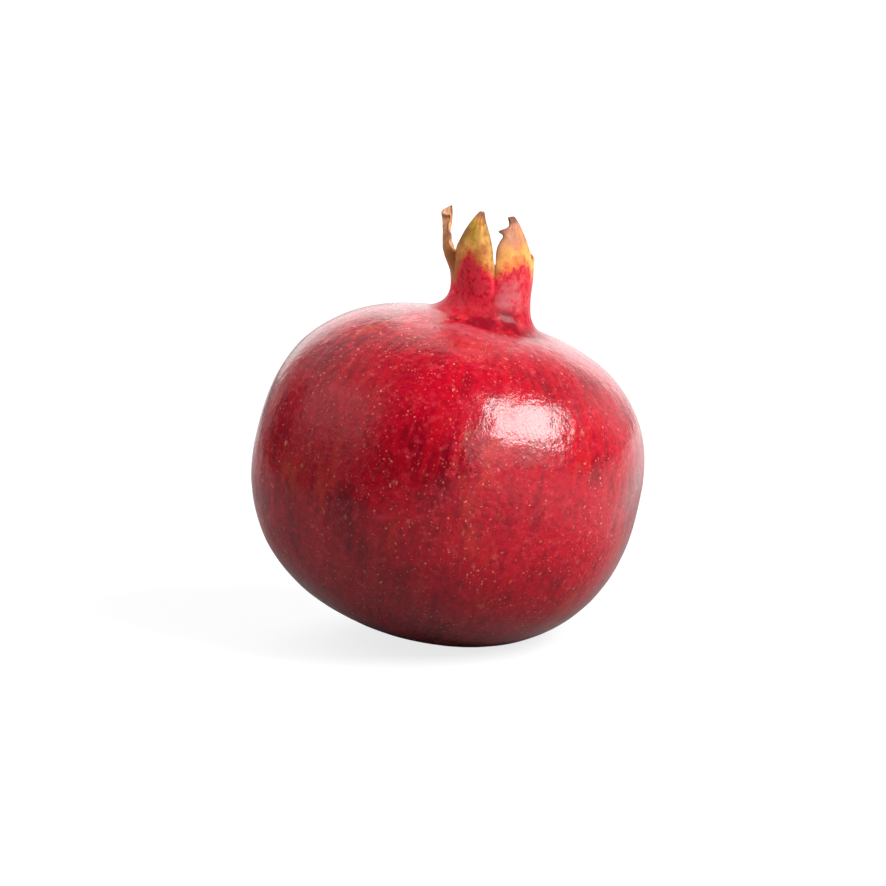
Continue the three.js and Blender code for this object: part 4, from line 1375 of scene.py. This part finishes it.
# The softer lights: the azimuths and elevations that each covers, its distance, its glow and, for some, the
# kind of ray that it is hidden from.
WALLS = [
    ("key_glow", (20, 66), (4, 34), 1.1, 1.8),
    ("left_wall", (-100, -65), (13, 46), 1.2, 0.4),
    ("left_low", (-104, -60), (3, 40), 1.2, 0.22),
    ("left_high", (-150, -112), (28, 60), 1.4, 0.3),
    ("back_left", (-155, -133), (0, 22), 1.5, 0.15),
    ("back_middle", (156, 182), (0, 22), 1.5, 1.15),
    ("back_above", (164, 184), (28, 50), 1.4, 1.2),
    ("back_high", (182, 211), (3, 35), 1.5, 1.2),
    ("back_top", (160, 192), (52, 64), 1.4, 0.8),
    ("back_right", (126, 157), (4, 32), 1.5, 0.35),
    ("right_far", (98, 128), (4, 36), 1.4, 0.3),
    ("back_sheet", (120, 232), (0, 70), 2.2, 0.25, "diffuse"),
    ("left_fill", (-130, -60), (10, 60), 1.0, 1.0, "glossy"),
    ("top_fill", (-180, -90), (40, 78), 1.2, 2.5, "glossy"),
]

FLOOR_REACH = 9
FLOOR_GREY = 0.2
WORLD_GLOW = 0.02

# The floor's glow and, in metres from its middle, where it grows, where it lies and where it fades.
SEEN_GLOW = 0.78
SEEN_GAIN = 0.25
SEEN_GROWING = (0.15, 1.2)
BEHIND_Y = (0.15, 0.6)
BEHIND_X = (-0.6, 0.1)
BEHIND_LOSS = 0.45
BEHIND_FADING = (0.6, 1.6)
BESIDE_X = (0.08, 0.12)
BESIDE_GLOW = 0.5


def direction(azimuth, elevation):
    """The unit vector at an azimuth, 0 towards the camera and 90 towards +X, and an elevation."""
    flat = cos_deg(elevation)
    return Vector((flat * sin_deg(azimuth), -flat * cos_deg(azimuth), sin_deg(elevation)))


def add_camera():
    """A long lens that looks at the fruit from the front and a little above."""
    data = bpy.data.cameras.new("camera")
    data.lens = PIXELS_PER_MM * CAMERA_DISTANCE / FRAME_PIXELS * SENSOR
    data.sensor_width = SENSOR
    data.clip_end = CAMERA_REACH
    camera = bpy.data.objects.new("camera", data)
    bpy.context.scene.collection.objects.link(camera)
    away = direction(0, CAMERA_ELEVATION)
    camera.location = Vector(CAMERA_TARGET) * MM + away * CAMERA_DISTANCE * MM
    camera.rotation_euler = (-away).to_track_quat("-Z", "Y").to_euler()
    bpy.context.scene.camera = camera


def add_panel(name, middle, up, distance, size, glow):
    """A flat soft light that faces the fruit from a direction, whose glow is the brightness of its face."""
    width, height = size
    data = bpy.data.lights.new(name, "AREA")
    data.shape = "RECTANGLE"
    data.size = width
    data.size_y = height
    data.energy = glow * np.pi * width * height
    lamp = bpy.data.objects.new(name, data)
    bpy.context.scene.collection.objects.link(lamp)
    across = up.cross(middle).normalized()
    turn = Matrix((across, middle.cross(across), middle)).transposed().to_4x4()
    turn.translation = LIGHT_CENTRE + middle * distance
    lamp.matrix_world = turn
    lamp.visible_camera = False
    return lamp


def add_wall(name, azimuths, elevations, distance, glow, hidden_from=None):
    """A panel that covers a range of azimuths and elevations, as the fruit sees it."""
    size = [2 * distance * np.tan(np.radians(end - start) / 2) for start, end in (azimuths, elevations)]
    middle = direction(sum(azimuths) / 2, sum(elevations) / 2)
    lamp = add_panel(name, middle, UPRIGHT, distance, size, glow)
    if hidden_from:
        setattr(lamp, "visible_" + hidden_from, False)


def floor_glow(tree):
    """The floor's glow: what the camera sees, or what lies behind and beside the fruit, whichever is higher.

    The camera sees a glow that grows away from the fruit, so the floor looks even and pale. The glow behind
    fades with the distance, and the one beside starts just right of the fruit.
    """
    seen = add_node(tree, "ShaderNodeLightPath").outputs["Is Camera Ray"]
    here = add_node(tree, "ShaderNodeTexCoord").outputs["Object"]
    place = add_node(tree, "ShaderNodeSeparateXYZ", {"Vector": here}).outputs
    distance = add_node(tree, "ShaderNodeVectorMath", {0: here}, operation="LENGTH").outputs["Value"]
    near = total(tree, SEEN_GLOW, product(tree, ramp(tree, distance, *SEEN_GROWING), SEEN_GAIN))
    loss = product(tree, ramp(tree, distance, *BEHIND_FADING), BEHIND_LOSS)
    behind = product(tree, ramp(tree, place["Y"], *BEHIND_Y), ramp(tree, place["X"], *BEHIND_X))
    behind = product(tree, behind, maths(tree, "SUBTRACT", 1.0, loss))
    beside = product(tree, ramp(tree, place["X"], *BESIDE_X), BESIDE_GLOW)
    return highest(tree, product(tree, seen, near), behind, beside)


def add_floor():
    """A wide matte sheet at the height of the table, with its own glow."""
    data = bpy.data.meshes.new("floor")
    corners = [(FLOOR_REACH * x, FLOOR_REACH * y, 0) for x, y in ((-1, -1), (1, -1), (1, 1), (-1, 1))]
    data.from_pydata(corners, [], [(0, 1, 2, 3)])
    floor = bpy.data.objects.new("floor", data)
    bpy.context.scene.collection.objects.link(floor)
    made, tree = new_material("pale_floor")
    finish_material(
        tree, Base_Color=(FLOOR_GREY, FLOOR_GREY, FLOOR_GREY, 1), Roughness=0.9, Specular_IOR_Level=0.0,
        Emission_Color=(1, 1, 1, 1), Emission_Strength=floor_glow(tree),
    )
    data.materials.append(made)


def add_world():
    """A dim even surround, seen by the camera as white."""
    world = bpy.data.worlds.new("surround")
    bpy.context.scene.world = world
    world.use_nodes = True
    tree = world.node_tree
    tree.nodes.clear()
    seen = add_node(tree, "ShaderNodeLightPath").outputs["Is Camera Ray"]
    strength = total(tree, product(tree, seen, 1 - WORLD_GLOW), WORLD_GLOW)
    glow = add_node(tree, "ShaderNodeBackground", {"Color": (1, 1, 1, 1), "Strength": strength})
    add_node(tree, "ShaderNodeOutputWorld", {"Surface": glow.outputs[0]})


add_camera()
add_floor()
add_world()
for name, toward, distance, size in KEY_PANELS:
    add_panel(name, direction(*toward), KEY_UP, distance, size, KEY_GLOW)
for wall in WALLS:
    add_wall(*wall)
bpy.context.scene.view_settings.view_transform = "Standard"

mottling_group()
place_piece("pomegranate_skin", fruit_mesh(), skin_material(), "fruit")
place_piece("stamen_tuft", stamens_mesh(), stamen_material(), "stamens")
place_piece("stalk_stump", stalk_mesh(), stalk_material(), "stalk")
